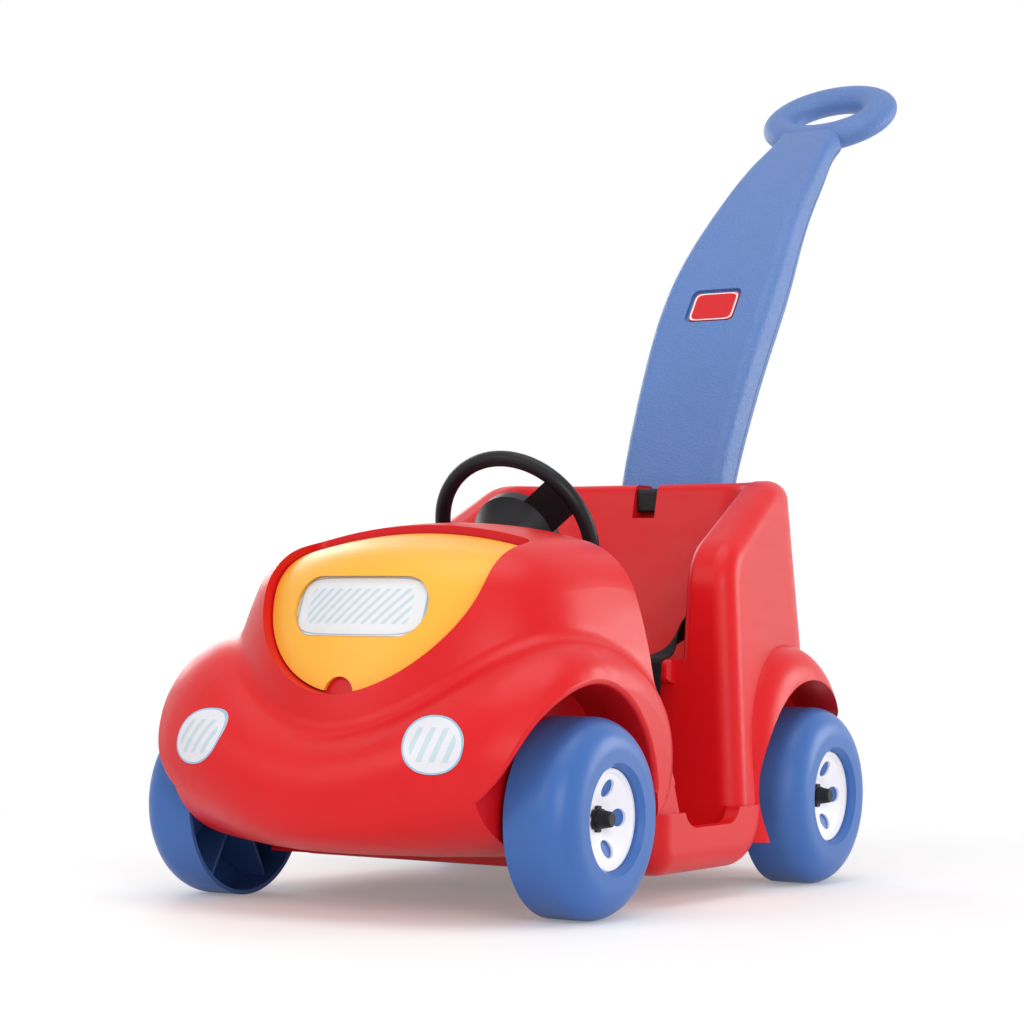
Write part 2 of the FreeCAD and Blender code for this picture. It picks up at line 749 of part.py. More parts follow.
def rear_fender():
    """Round-topped fender over the left rear wheel."""
    ahead = rear_x + S.rear_fender_front
    behind = rear_x + S.rear_fender_rear
    inner = well_y - 25
    hump = side_prism([
        (behind, S.tub_low_z, 0), (behind, S.rear_fender_z, S.rear_fender_turn),
        (ahead, S.rear_fender_z, S.rear_fender_turn), (ahead, S.tub_low_z, 0)],
        (fender_half - inner) / 2, (fender_half + inner) / 2)
    edges = [edge for edge in hump.Edges if edge.BoundBox.YMin > fender_half - 0.1
             and edge.BoundBox.ZMax > S.tub_low_z + 0.1]
    return hump.makeFillet(S.fender_edge, edges)


def floor_pan():
    """Sill pan under the cabin, rounded below, with the slanted front of the door openings."""
    back = rear_x + S.pan_rear
    ahead = front_x + S.pan_front
    pan = side_prism([
        (back, S.belly_z, S.belly_rear_round), (ahead, S.belly_z, S.belly_front_round),
        (ahead, S.pan_top_z, 0), (back, S.pan_top_z, 0)], S.pan_half)
    below = [edge for edge in pan.Edges
             if edge.BoundBox.YLength < 0.01 and edge.BoundBox.ZMin < S.belly_z + 0.1]
    pan = pan.makeFillet(S.belly_edge, below)
    kick = box((cowl_x - S.door_lean - 10, cowl_x + 2), (-S.cowl_base_half + 5, S.cowl_base_half - 5),
               (S.floor_z - 10, S.hood_base_z + 4))
    toe_pan = box((cowl_x - 5, front_x + S.legroom_front + S.legroom_round),
                  (-S.toe_pan_half, S.toe_pan_half), (S.toe_pan_z, S.sill_z))
    return pan.fuse([kick, toe_pan])


# Steering axis, which points from the dash up to the driver
steer_axis = Vector(-math.cos(math.radians(S.ring_lean)), 0, math.sin(math.radians(S.ring_lean)))
ring_centre = Vector(front_x + S.ring_x, 0, S.ring_z)

# Side view of the handle: a straight foot, a bend and one long curve
bend_centre = Vector(rear_x + S.handle_x - S.handle_bend, 0, S.handle_bend_z)
lean = math.radians(S.handle_lean)
curve_centre = bend_centre + Vector(math.cos(lean), 0, math.sin(lean)) * (S.handle_bend - S.handle_curve)
pivot = Vector(rear_x + S.pivot_x, 0, S.pivot_z)
channel_half = S.handle_base_half + S.channel_side_gap


def lamp_prism(inset, side):
    """Oval column along a headlight's facing direction, with that direction."""
    aim = math.radians(S.lamp_aim) * side
    facing = Vector(math.cos(aim), math.sin(aim), 0)
    start = Vector(front_x + S.corner_reach, side * S.lamp_y, S.lamp_z) - facing * 30
    across = Vector(-math.sin(aim), math.cos(aim), 0)
    points = []
    for angle in range(0, 360, 30):
        c, s = superellipse(angle, 2.2)
        points.append(start + across * ((S.lamp_half_width - inset) * c)
                      + Vector(0, 0, (S.lamp_half_height - inset) * s))
    return Part.Face(Part.Wire(spline(points, closed=True))).extrude(facing * 150), facing


def arch_edges(shell):
    """Outer edges of the two front wheel arches."""
    x = front_x + S.arch_front_shift
    z = axle_z + S.arch_rise
    found = []
    for edge in shell.Edges:
        span = edge.LastParameter - edge.FirstParameter
        points = [edge.valueAt(edge.FirstParameter + span * k / 6) for k in range(7)]
        on_arch = all(abs(math.hypot(p.x - x, p.z - z) - arch_radius) < 0.2 for p in points)
        if on_arch and min(abs(p.y) for p in points) > well_y + 5:
            found.append(edge)
    return found


def door_prism():
    """Space of both door openings: behind the cowl, above the sills and ahead of the arms."""
    return side_prism([
        (cowl_x, S.tub_high_z, 0), (cowl_x, S.door_turn_z, S.door_turn),
        (cowl_x - S.door_lean, S.sill_z, S.door_low_turn), (arm_x, S.sill_z, S.door_low_turn - 3),
        (arm_x, S.pan_top_z + 20, 0), (arm_x + 2, S.pan_top_z + 30, 0), (arm_x + 2, S.tub_high_z, 0)],
        S.track_width)


def make_shell():
    """The moulded body in two pieces: hood with nose, and tub with floor."""
    dome = hood_dome()
    front = front_skirt().fuse(dome)
    front = front.cut(door_prism()).Solids[0]
    seam = [edge for edge in front.Edges
            if edge.BoundBox.ZMax < S.fender_reach + axle_z + 4 and edge.BoundBox.ZMin > S.hood_base_z - 1
            and edge.BoundBox.XMax > front_x - 10 and edge.Length > 100
            and edge.BoundBox.YLength > 0.1
            and max(abs(edge.BoundBox.YMax), abs(edge.BoundBox.YMin)) < fender_half - 5]
    front = front.makeFillet(S.hood_blend, seam)
    fender = rear_fender()
    lip = box((arm_x - 20, arm_x + S.seat_lip), (-S.seat_lip_half, S.seat_lip_half),
              (S.seat_z - S.seat_lip_height, S.seat_z))
    lip = lip.makeFillet(S.seat_lip * 0.7, [
        edge for edge in lip.Edges if edge.BoundBox.XMin > arm_x])
    shell = front.fuse([floor_pan(), seat_tub(), fender, mirrored(fender), lip])

    # Cabin: door openings, foot-well and leg room
    low_x = cowl_x - S.door_lean
    door = door_prism().cut(lip)
    inner = S.pan_half - S.sill_wall
    footwell = box((arm_x, low_x), (-inner, inner), (S.floor_z, S.sill_z + 20))
    legroom = side_prism([
        (low_x - 20, S.floor_z, 0), (front_x + S.legroom_front, S.floor_z, S.legroom_round),
        (front_x + S.legroom_front, S.legroom_z, S.legroom_round), (low_x - 20, S.legroom_z, 0)],
        S.legroom_half)

    dish_z = S.seat_z - S.seat_dish_depth
    dish = Part.Face(rounded_wire([(Vector(x, y, dish_z), S.seat_dish_corner) for x, y in (
        (arm_x - 16, -S.seat_dish_half), (arm_x - 16, S.seat_dish_half),
        (rear_x + S.back_x + 14, S.seat_dish_half), (rear_x + S.back_x + 14, -S.seat_dish_half))]))
    dish = dish.extrude(Vector(0, 0, S.seat_dish_depth + 1))

    # Wheel wells
    wells = []
    for x, shift in ((front_x, S.arch_front_shift), (rear_x, S.arch_rear_shift)):
        arch = cross_rod(arch_radius, x + shift, axle_z + S.arch_rise, well_y, S.track_width)
        round_about = cross_rod(axle_z + S.well_clear, x, axle_z, well_y, S.track_width)
        for well in (arch, round_about):
            wells += [well, mirrored(well)]

    # Hood bin: recess for the lid, opening, and pocket behind the hinge
    rim = lid_prism(0, 0)
    recess = rim.cut(hood_dome(S.lid_recess + S.lid_wall + S.lid_seat_gap))
    hinge_x = front_x + S.hinge_x
    wide = (-S.lid_half, S.lid_half)
    opening = lid_prism(S.ledge, 0).common(
        box((hinge_x + S.bulkhead_half, front_x + S.nose_reach), wide, (S.bin_floor_z, S.hood_top_z)))
    pocket = rim.common(box((0, hinge_x + S.bulkhead_half + 4), wide, (S.pocket_z, S.hood_top_z)))
    pocket = pocket.cut(box((hinge_x - S.bulkhead_half, hinge_x + S.bulkhead_half + 4),
                            (-S.hinge_post, S.hinge_post), (0, S.hood_top_z)))
    hinge_bay = rim.common(box((0, hinge_x + S.bulkhead_half + 1), wide, (S.bulkhead_top, S.hood_top_z)))

    # Channel for the push handle
    near = rear_x + S.handle_x + S.channel_gap
    lean_x = curve_centre.x + S.handle_curve * math.cos(lean) + S.channel_gap
    lean_z = curve_centre.z + S.handle_curve * math.sin(lean)
    far = rear_x - 2 * S.fender_reach
    channel = side_prism([
        (near, S.channel_low_z, 0), (near, S.handle_bend_z, 0), (lean_x, lean_z, 0),
        (lean_x, S.tub_high_z, 0), (far, S.tub_high_z, 0), (far, S.channel_low_z, 0)], channel_half)

    # Notch for the latch, and bores for axles, column and pins
    latch_half = S.latch_width / 2 + S.latch_gap
    notch_front = rear_x + S.latch_front + 30
    notch = box((near - 40, notch_front), (-latch_half, latch_half),
                (S.latch_mid_z - S.latch_under, S.tub_high_z))
    notch = notch.fuse(box((rear_x + S.latch_front - S.latch_depth - S.latch_swing, notch_front),
                           (-latch_half, latch_half), (S.latch_low_z - S.latch_swing, S.tub_high_z)))
    bore = S.axle_diameter / 2 + S.seat_play
    bores = [cross_rod(bore, x, axle_z, -S.track_width, S.track_width) for x in (front_x, rear_x)]
    bores.append(Part.makeCylinder(S.column_diameter / 2 + S.column_play, S.column_reach + 3,
                                   ring_centre, -steer_axis))
    bores.append(cross_rod(S.pivot_diameter / 2 + S.seat_play, pivot.x, pivot.z,
                           -channel_half - S.pivot_seat - 1, channel_half + S.pivot_seat + 1))
    bores.append(cross_rod(S.latch_pin / 2 + S.seat_play, rear_x + S.latch_pin_x, S.latch_pin_z,
                           -S.latch_pin_half - 1, S.latch_pin_half + 1))

    # Lamp pockets
    pockets = []
    for side in (1, -1):
        prism, facing = lamp_prism(0, side)
        pockets.append(prism.cut(front_skirt().translated(facing * -S.lamp_depth)))

    for tool in [door, footwell, legroom, dish, channel, notch, recess, opening, pocket, hinge_bay]:
        shell = shell.cut(tool)
    for tool in wells + bores + pockets:
        shell = shell.cut(tool)
    shell = shell.makeFillet(S.arch_lip, arch_edges(shell.Solids[0]))

    # Hinge ears on the bulkhead
    for side in (1, -1):
        inner_y = S.hinge_half + S.hinge_side_gap
        ends = sorted((side * inner_y, side * (inner_y + S.hinge_ear)))
        ear = cross_rod(S.hinge_eye, hinge_x, S.hinge_z, *ends)
        ear = ear.fuse(box((hinge_x - S.hinge_eye, hinge_x + S.hinge_eye), ends,
                           (S.bulkhead_top - 2, S.hinge_z)))
        shell = shell.fuse(ear)
    shell = shell.cut(cross_rod(S.hinge_pin / 2 + S.seat_play, hinge_x, S.hinge_z, -S.lid_half / 2,
                                S.lid_half / 2))
    shell = shell.removeSplitter()
    front_space = box((cowl_x - S.seam_back, front_x + 2 * S.nose_reach), (-S.track_width, S.track_width),
                      (0, S.tub_high_z))
    return shell.common(front_space), shell.cut(front_space)


def make_lid():
    """Hood lid with a finger notch, a recess for the panel and a hinge knuckle."""
    outline = lid_prism(S.lid_gap, S.lid_rear_gap)
    lid = outline.common(hood_dome(S.lid_recess)).cut(hood_dome(S.lid_recess + S.lid_wall))
    floor = S.lid_recess + S.panel_depth
    tray = panel_prism(S.lid_wall).common(hood_dome(S.lid_recess + S.lid_wall / 2))
    tray = tray.cut(hood_dome(floor + S.lid_wall))
    lid = lid.fuse(tray).cut(panel_prism(0).cut(hood_dome(floor)))
    notch = Part.makeCylinder(S.notch_radius, S.nose_reach,
                              Vector(front_x, 0, S.lid_centre_z - S.lid_drop), Vector(1, 0, 0))
    lid = lid.cut(notch)
    hinge_x = front_x + S.hinge_x
    knuckle = cross_rod(S.hinge_eye, hinge_x, S.hinge_z, -S.hinge_half, S.hinge_half)
    web = box((hinge_x - S.hinge_eye, hinge_x + S.hinge_eye), (-S.hinge_half, S.hinge_half),
              (S.hinge_z, S.crown_z)).common(hood_dome(S.lid_recess + S.lid_wall / 2))
    lid = lid.fuse([knuckle, web])
    return lid.cut(cross_rod(S.hinge_pin / 2 + S.hinge_pin_play, hinge_x, S.hinge_z, -S.lid_half,
                             S.lid_half)).removeSplitter()


def make_panel():
    """Thin panel on the floor of the lid's recess."""
    floor = S.lid_recess + S.panel_depth
    slab = panel_prism(-S.panel_gap).common(hood_dome(floor - S.panel_thickness))
    return slab.cut(hood_dome(floor))


# Push handle

def handle_section(middle, lengthwise, half, thickness):
    """Rounded rectangle across the handle at one place of its length."""
    outward = Vector(lengthwise.z, 0, -lengthwise.x)
    corner = min(S.handle_edge, thickness / 2 - 2)
    across = Vector(0, half, 0)
    depth = outward * (thickness / 2)
    return rounded_wire([(middle - across + depth, corner), (middle + across + depth, corner),
                         (middle + across - depth, corner), (middle - across - depth, corner)])


def handle_point(turn, radius):
    """Point of the long curve at a turn in degrees past its start, and its direction."""
    angle = math.radians(S.handle_lean + turn)
    ray = Vector(math.cos(angle), 0, math.sin(angle))
    return curve_centre + ray * radius, Vector(-ray.z, 0, ray.x)


def make_handle():
    """Push handle: lofted post, heel at the pivot and an oval loop on top."""
    mid_x = rear_x + S.handle_x - S.handle_thickness / 2
    up = Vector(0, 0, 1)
    wires = []
    for z in (S.pivot_z, (S.pivot_z + S.handle_bend_z) / 2, S.handle_bend_z):
        wires.append(handle_section(Vector(mid_x, 0, z), up, S.handle_base_half, S.handle_thickness))
    for share in (0, 0.14, 0.31, 0.47, 0.64, 0.75, 0.86, 1):
        widen = S.handle_base_half + (S.handle_mid_half - S.handle_base_half) * ease(share / 0.31)
        narrow = max(share - 0.47, 0) / 0.53
        half = widen - (S.handle_mid_half - S.handle_neck_half) * narrow
        thin = S.handle_thickness - (S.handle_thickness - S.handle_neck_thickness) * ease(narrow)
        middle, along = handle_point(share * S.handle_arc, S.handle_curve - S.handle_thickness / 2)
        wires.append(handle_section(middle, along, half, thin))
    post = Part.makeLoft(wires, True, False)
    heel = cross_rod(S.heel_radius, pivot.x, pivot.z, -S.handle_base_half, S.handle_base_half)

    tilt = math.radians(S.loop_tilt)
    along = Vector(-math.cos(tilt), 0, math.sin(tilt))
    start, _ = handle_point(S.handle_arc + 1, S.handle_curve - S.handle_thickness / 2)
    centre = start + along * S.loop_long
    oval = Part.Ellipse(centre + Vector(0, S.loop_wide, 0), start, centre)
    across = Vector(along.z, 0, -along.x)
    grip = Part.Ellipse(start + along * S.loop_tube, start + across * S.loop_tube_height, start)
    ring = Part.Wire(grip.toShape())
    loop = Part.Wire(oval.toShape()).makePipeShell([ring], True, False)
    handle = post.fuse([heel, loop])

    handle = handle.cut(badge_block(0, S.badge_depth, 30))
    handle = handle.cut(cross_rod(S.pivot_diameter / 2 + S.pivot_play, pivot.x, pivot.z,
                                  -S.handle_mid_half, S.handle_mid_half))
    return handle.removeSplitter()


def badge_block(inset, floor, height):
    """Rounded block on the handle's front face; its floor is given as a depth in that face."""
    centre, along = handle_point(S.badge_turn, S.handle_curve - floor)
    outward = Vector(along.z, 0, -along.x)
    across = Vector(0, S.badge_width / 2 - inset, 0)
    length = along * (S.badge_height / 2 - inset)
    corner = max(S.badge_corner - inset, 1)
    wire = rounded_wire([(centre - across - length, corner), (centre + across - length, corner),
                         (centre + across + length, corner), (centre - across + length, corner)])
    return Part.Face(wire).extrude(outward * height)


def make_latch():
    """Latch lever: a tongue in front, an eye in the middle and a pad behind."""
    half = S.latch_width / 2
    tongue_x = rear_x + S.latch_front
    pin_x = rear_x + S.latch_pin_x
    back = pin_x - 9
    sink = S.handle_bend - math.sqrt(S.handle_bend ** 2 - (S.latch_mid_z - S.handle_bend_z) ** 2)
    pad_end = rear_x + S.handle_x - sink + S.latch_pad_gap
    low = S.latch_mid_z
    lever = side_prism([
        (tongue_x, S.latch_low_z, 3), (tongue_x, S.latch_high_z - 1, 5),
        (back, S.latch_high_z, 3), (back, low, 2), (tongue_x - S.latch_depth, low, 0),
        (tongue_x - S.latch_depth, S.latch_low_z, 2)], half)
    pad = box((pad_end, back + 1), (-half + 2 * S.latch_gap, half - 2 * S.latch_gap),
              (low + 2, low + 2 + S.latch_pad_height))
    lever = lever.fuse(pad)
    return lever.cut(cross_rod(S.latch_pin / 2 + S.latch_pin_play, pin_x, S.latch_pin_z, -half, half))


# Belt

def smooth_run(vectors, steps):
    """A smooth run through a row of vectors, with extra ones between each pair."""
    run = []
    row = [vectors[0]] + vectors + [vectors[-1]]
    for a, b, c, d in zip(row, row[1:], row[2:], row[3:]):
        for step in range(steps):
            t = step / steps
            run.append((b * 2 + (c - a) * t + (a * 2 - b * 5 + c * 4 - d) * t ** 2
                        + (b * 3 - a - c * 3 + d) * t ** 3) * 0.5)
    return run + [vectors[-1]]


def make_belt():
    """Left webbing: from the arm's inner wall down to the seat, over its front edge and down."""
    y = S.belt_y
    turn = S.seat_lip * 0.7
    lip_x = arm_x + S.seat_lip - turn
    lift = S.belt_thickness / 2 + S.belt_gap
    seat = S.seat_z + lift
    across = Vector(0, 1, 0)
    stations = [
        (Vector(arm_x - 98, 146, seat + 62), Vector(0.35, 0.05, 0.93), Vector(0.05, -1, 0.05)),
        (Vector(arm_x - 80, 143, seat + 52), Vector(0.4, 0.1, 0.9), Vector(0.1, -0.95, 0.1)),
        (Vector(arm_x - 58, 138, seat + 38), Vector(0.45, 0.2, 0.86), Vector(0.2, -0.9, 0.15)),
        (Vector(arm_x - 34, 132, seat + 22), Vector(0.42, 0.55, 0.7), Vector(0.3, -0.75, 0.5)),
        (Vector(arm_x - 13, y + 2, seat + 4), Vector(0.1, 0.98, 0.1), Vector(0.15, -0.1, 1))]
    for angle in (0, 30, 60, 90):
        out = Vector(math.sin(math.radians(angle)), 0, math.cos(math.radians(angle)))
        stations.append((Vector(lip_x, y, S.seat_z - turn) + out * (turn + lift), across, out))
    hang_x = lip_x + turn + lift
    stations.append((Vector(hang_x, y - 1, S.belt_end_z + 60), across, Vector(1, 0, 0)))
    stations.append((Vector(hang_x, y - 2, S.belt_end_z), across, Vector(1, 0, 0)))
    wires = []
    for point, wide, out in zip(*(smooth_run(list(row), 3) for row in zip(*stations))):
        wide = wide.normalize()
        out = (out - wide * out.dot(wide)).normalize()
        a = wide * (S.belt_width / 2)
        b = out * (S.belt_thickness / 2)
        wires.append(Part.makePolygon([point - a - b, point + a - b, point + a + b, point - a + b,
                                       point - a - b]))
    return Part.makeLoft(wires, True, True)


def make_fastener(width, length, thickness, side):
    """Rounded block round the hanging end of one webbing."""
    x = arm_x + S.seat_lip + S.belt_thickness / 2 + S.belt_gap
    y = side * (S.belt_y - 2)
    block = box((x - thickness / 2, x + thickness / 2), (y - width / 2, y + width / 2),
                (S.belt_end_z - length * 0.6, S.belt_end_z + length * 0.4))
    edges = [edge for edge in block.Edges if edge.BoundBox.XLength > 0.1]
    block = block.makeFillet(min(6, width / 4), edges)
    slot = box((x - S.belt_thickness / 2 - S.belt_gap, x + S.belt_thickness / 2 + S.belt_gap),
               (y - S.belt_width / 2 - 2 * S.belt_gap, y + S.belt_width / 2 + 2 * S.belt_gap),
               (S.belt_end_z - S.belt_gap, S.belt_end_z + length))
    return block.cut(slot)


hood_moulding, tub_moulding = make_shell()
parts.append(moulded("body_shell", hood_moulding))
parts.append(moulded("seat_tub", tub_moulding))
parts.append(moulded("hood_lid", make_lid()))
parts.append(moulded("hood_panel", make_panel()))
lid_pin = primitive("Cylinder", "lid_hinge_pin", Radius="hinge_pin / 2",
                    Height="2 * (hinge_half + hinge_side_gap + hinge_ear)")
place(lid_pin, f"{FRONT} + hinge_x", "-(hinge_half + hinge_side_gap + hinge_ear)", "hinge_z",
      Rotation(Vector(1, 0, 0), -90))
parts.append(lid_pin)
for side, name in ((1, "left"), (-1, "right")):
    prism, facing = lamp_prism(S.lamp_gap, side)
    lens = prism.common(front_skirt())
    lens = lens.cut(front_skirt().translated(facing * (S.lamp_gap - S.lamp_depth)))
    parts.append(moulded(f"{name}_headlight", lens))
    belt = make_belt()
    parts.append(moulded(f"{name}_belt", belt if side > 0 else mirrored(belt)))
parts.append(moulded("belt_buckle", make_fastener(S.buckle_width, S.buckle_length,
                                                  S.buckle_thickness, 1)))
parts.append(moulded("belt_tongue", make_fastener(S.tongue_width, S.tongue_length,
                                                  S.tongue_thickness, -1)))
parts.append(moulded("push_handle", make_handle()))
parts.append(moulded("handle_badge", badge_block(S.badge_gap, S.badge_depth, S.badge_plate)))
parts.append(moulded("handle_latch", make_latch()))
pivot_pin = primitive("Cylinder", "handle_pivot_pin", Radius="pivot_diameter / 2",
                      Height="2 * (handle_base_half + channel_side_gap + pivot_seat)")
place(pivot_pin, f"{REAR} + pivot_x", "-(handle_base_half + channel_side_gap + pivot_seat)", "pivot_z",
      Rotation(Vector(1, 0, 0), -90))
latch_pin = primitive("Cylinder", "latch_pin", Radius="latch_pin / 2", Height="2 * latch_pin_half")
place(latch_pin, f"{REAR} + latch_pin_x", "-latch_pin_half", "latch_pin_z",
      Rotation(Vector(1, 0, 0), -90))
parts += [pivot_pin, latch_pin]


# Steering, built about its own axis: Z points to the driver, X up in the ring's plane

facing = Rotation(Vector(0, 1, 0), S.ring_lean - 90)


def steer_place(item, along):
    """Put an object on the steering axis at a distance from the ring's plane."""
    place(item, f"{FRONT} + ring_x - ({along}) * cos(ring_lean)", "0",
          f"ring_z + ({along}) * sin(ring_lean)", facing)


ring = primitive("Torus", "steering_ring", Radius1="ring_radius", Radius2="ring_tube")
hub = primitive("Cylinder", "steering_hub", Radius="hub_radius", Height="hub_face + spoke_thickness / 2")
bind(hub, "Placement.Base.z", "-spoke_thickness / 2")
nose = primitive("Cone", "steering_nose", Radius1="hub_nose", Radius2="hub_radius",
                 Height="hub_depth - spoke_thickness / 2")
bind(nose, "Placement.Base.z", "-hub_depth")
spokes = []
for index, angle in enumerate((90, 270, 180)):
    spoke = primitive("Box", f"steering_spoke_{index + 1}", Length="ring_radius", Width="spoke_width",
                      Height="spoke_thickness")
    turn = Rotation(Vector(0, 0, 1), angle - S.ring_turn)
    spoke.Placement = Placement(turn.multVec(Vector(0, -S.spoke_width / 2, -S.spoke_thickness / 2)), turn)
    spokes.append(spoke)
rim_and_hub = doc.addObject("Part::MultiFuse", "steering_solid")
rim_and_hub.Shapes = [ring, hub, nose] + spokes
well = primitive("Cylinder", "horn_well", Radius="horn_radius + horn_play",
                 Height="horn_height - horn_proud + horn_travel + 1 + hub_face")
bind(well, "Placement.Base.z", "hub_face - (horn_height - horn_proud) - horn_travel - 1")
socket = primitive("Cylinder", "column_socket", Radius="column_diameter / 2 + seat_play",
                   Height="column_seat + 10")
bind(socket, "Placement.Base.z", "-hub_depth - 10")
voids = doc.addObject("Part::MultiFuse", "steering_voids")
voids.Shapes = [well, socket]
steering = doc.addObject("Part::Cut", "steering_wheel")
steering.Label = "steering_wheel"
steering.Base = rim_and_hub
steering.Tool = voids
steer_place(steering, "0")

column = primitive("Cylinder", "steering_column", Radius="column_diameter / 2",
                   Height="column_reach - hub_depth + column_seat")
steer_place(column, "-column_reach")
collar = new_body("steering_collar")
bore = "column_diameter / 2 + seat_play"
turned(collar, [(bore, "0"), ("collar_radius", "0"), ("collar_radius", "collar_thickness"),
                (bore, "collar_thickness")])
steer_place(collar, "-collar_reach - collar_thickness")
horn = new_body("horn_button")
base = turned(horn, [("0", "0"), ("horn_radius", "0"), ("horn_radius", "horn_height"),
                     ("0", "horn_height")])
rounded_rim(horn, base, "3", "horn_radius", "horn_height")
steer_place(horn, "hub_face + horn_proud - horn_height")
parts += [steering, column, collar, horn]


# Check every object and write one file for each part

doc.recompute()
os.makedirs("parts", exist_ok=True)
for item in doc.Objects:
    if "Invalid" in item.State or "Error" in item.State:
        raise RuntimeError(f"{item.Label}: {item.State}")
for item in parts:
    shape = item.Shape
    if shape.isNull() or not shape.isValid() or len(shape.Solids) != 1:
        raise RuntimeError(f"{item.Label}: {len(shape.Solids)} solids, valid {shape.isValid()}")
    shape.exportStep(f"parts/{item.Label}.step")
print(f"{len(parts)} parts written")
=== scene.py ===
"""Ride-on push car: finishes, lid skin, webbings, rivets, printed faces, studio and camera.

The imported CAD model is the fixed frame. Each sub-assembly is a class that holds its sizes in metres,
builds the pieces that the frame doesn't have, and dresses its own nodes.
"""

import logging
import math
from dataclasses import dataclass
from enum import Enum
from typing import Optional, Sequence, Union

import bpy
from mathutils import Matrix, Vector


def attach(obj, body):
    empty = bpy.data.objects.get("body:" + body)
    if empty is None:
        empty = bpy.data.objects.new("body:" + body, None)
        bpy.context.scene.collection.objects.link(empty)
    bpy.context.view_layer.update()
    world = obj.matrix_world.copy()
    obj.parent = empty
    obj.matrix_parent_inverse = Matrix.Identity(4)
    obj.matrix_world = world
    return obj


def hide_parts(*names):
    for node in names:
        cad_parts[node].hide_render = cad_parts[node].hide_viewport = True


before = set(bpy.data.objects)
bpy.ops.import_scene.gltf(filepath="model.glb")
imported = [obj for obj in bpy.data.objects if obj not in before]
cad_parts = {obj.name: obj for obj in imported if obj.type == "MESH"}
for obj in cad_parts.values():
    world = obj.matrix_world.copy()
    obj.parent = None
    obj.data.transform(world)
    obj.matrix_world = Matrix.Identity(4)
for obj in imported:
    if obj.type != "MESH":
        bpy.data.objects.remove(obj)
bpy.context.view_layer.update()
LOG = logging.getLogger("push_car")

Pair = tuple[float, float]
Triple = tuple[float, float, float]
Colour = tuple[float, float, float, float]
Socket = bpy.types.NodeSocket
Value = Union[Socket, float, Colour, Triple]

# Middle of the wheelbase, ahead of the frame's origin
MIDDLE_X = 0.2026

# Edges that bend by more than this stay sharp on a new piece
SMOOTH_ANGLE = math.radians(40.0)

# Least cosine between a face's normal and the way that it is said to look
FLAT_ON = 0.99

# What the edit tools pick: points, edges or faces
BY_EDGE = (False, True, False)
BY_FACE = (False, False, True)


class Side(Enum):
    """The two sides of the car, with the sign of their Y."""

    LEFT = 1
    RIGHT = -1

    @property
    def label(self) -> str:
        """The side's name as the nodes spell it."""
        return self.name.lower()


class Axle(Enum):
    """The two ends of the car that carry wheels."""

    FRONT = "front"
    REAR = "rear"


class Effect(Enum):
    """Shader effects that several finishes share."""

    GRAIN = "moulded_grain"
    DRIFT = "colour_drift"
    PRINT = "printed_bars"
    WEAVE = "webbing_weave"


class Tree:
    """Short-hand for one node tree, filled from left to right."""

    STEP = 190

    # Places of the colour sockets on a mix node
    MIX_SHARE = 0
    MIX_FIRST = 6
    MIX_SECOND = 7
    MIX_RESULT = 2

    def __init__(self, tree: bpy.types.NodeTree) -> None:
        """Start on an empty tree.

        Args:
            tree: a material's or a group's node tree.
        """
        self.tree = tree
        self.tree.nodes.clear()

    def add(self, kind: str, inputs: Optional[dict[Union[str, int], Value]] = None,
            **settings: object) -> bpy.types.Node:
        """Add one node.

        Args:
            kind: the node's type name.
            inputs: sockets to link or plain values to set, by socket name or place.
            settings: the node's own properties.

        Returns:
            The new node.
        """
        made = self.tree.nodes.new(kind)
        made.location = (self.STEP * len(self.tree.nodes), 0)
        for name, value in settings.items():
            setattr(made, name, value)
        for key, value in (inputs or {}).items():
            if isinstance(value, Socket):
                self.tree.links.new(value, made.inputs[key])
            else:
                made.inputs[key].default_value = value
        return made

    def math(self, operation: str, first: Value, second: Value = 0.0, third: Value = 0.0) -> Socket:
        """One step of arithmetic; returns its result."""
        node = self.add("ShaderNodeMath", {0: first, 1: second, 2: third}, operation=operation)
        return node.outputs[0]

    def mix(self, share: Value, first: Value, second: Value, blend: str = "MIX") -> Socket:
        """Mix two colours by a share; returns the colour."""
        inputs = {self.MIX_SHARE: share, self.MIX_FIRST: first, self.MIX_SECOND: second}
        node = self.add("ShaderNodeMix", inputs, data_type="RGBA", blend_type=blend)
        return node.outputs[self.MIX_RESULT]

    def spread(self, value: Value, low: float, high: float, to_low: Value, to_high: Value) -> Socket:
        """Map a range of one value to another range, with a soft start and end.

        Args:
            value: the value to map.
            low: where the range starts.
            high: where the range ends.
            to_low: the result at the start.
            to_high: the result at the end.

        Returns:
            The mapped value.
        """
        node = self.add("ShaderNodeMapRange",
                        {"Value": value, "From Min": low, "From Max": high,
                         "To Min": to_low, "To Max": to_high}, interpolation_type="SMOOTHSTEP")
        return node.outputs["Result"]

    def noise(self, where: Socket, scale: Value, detail: float) -> Socket:
        """Soft noise at some places; returns a value about one half."""
        node = self.add("ShaderNodeTexNoise", {"Vector": where, "Scale": scale, "Detail": detail})
        return node.outputs[0]

    def effect(self, effect: Effect, inputs: dict[str, Value]) -> bpy.types.Node:
        """Place a shared effect with its own values; returns its node."""
        return self.add("ShaderNodeGroup", inputs, node_tree=bpy.data.node_groups[effect.value])


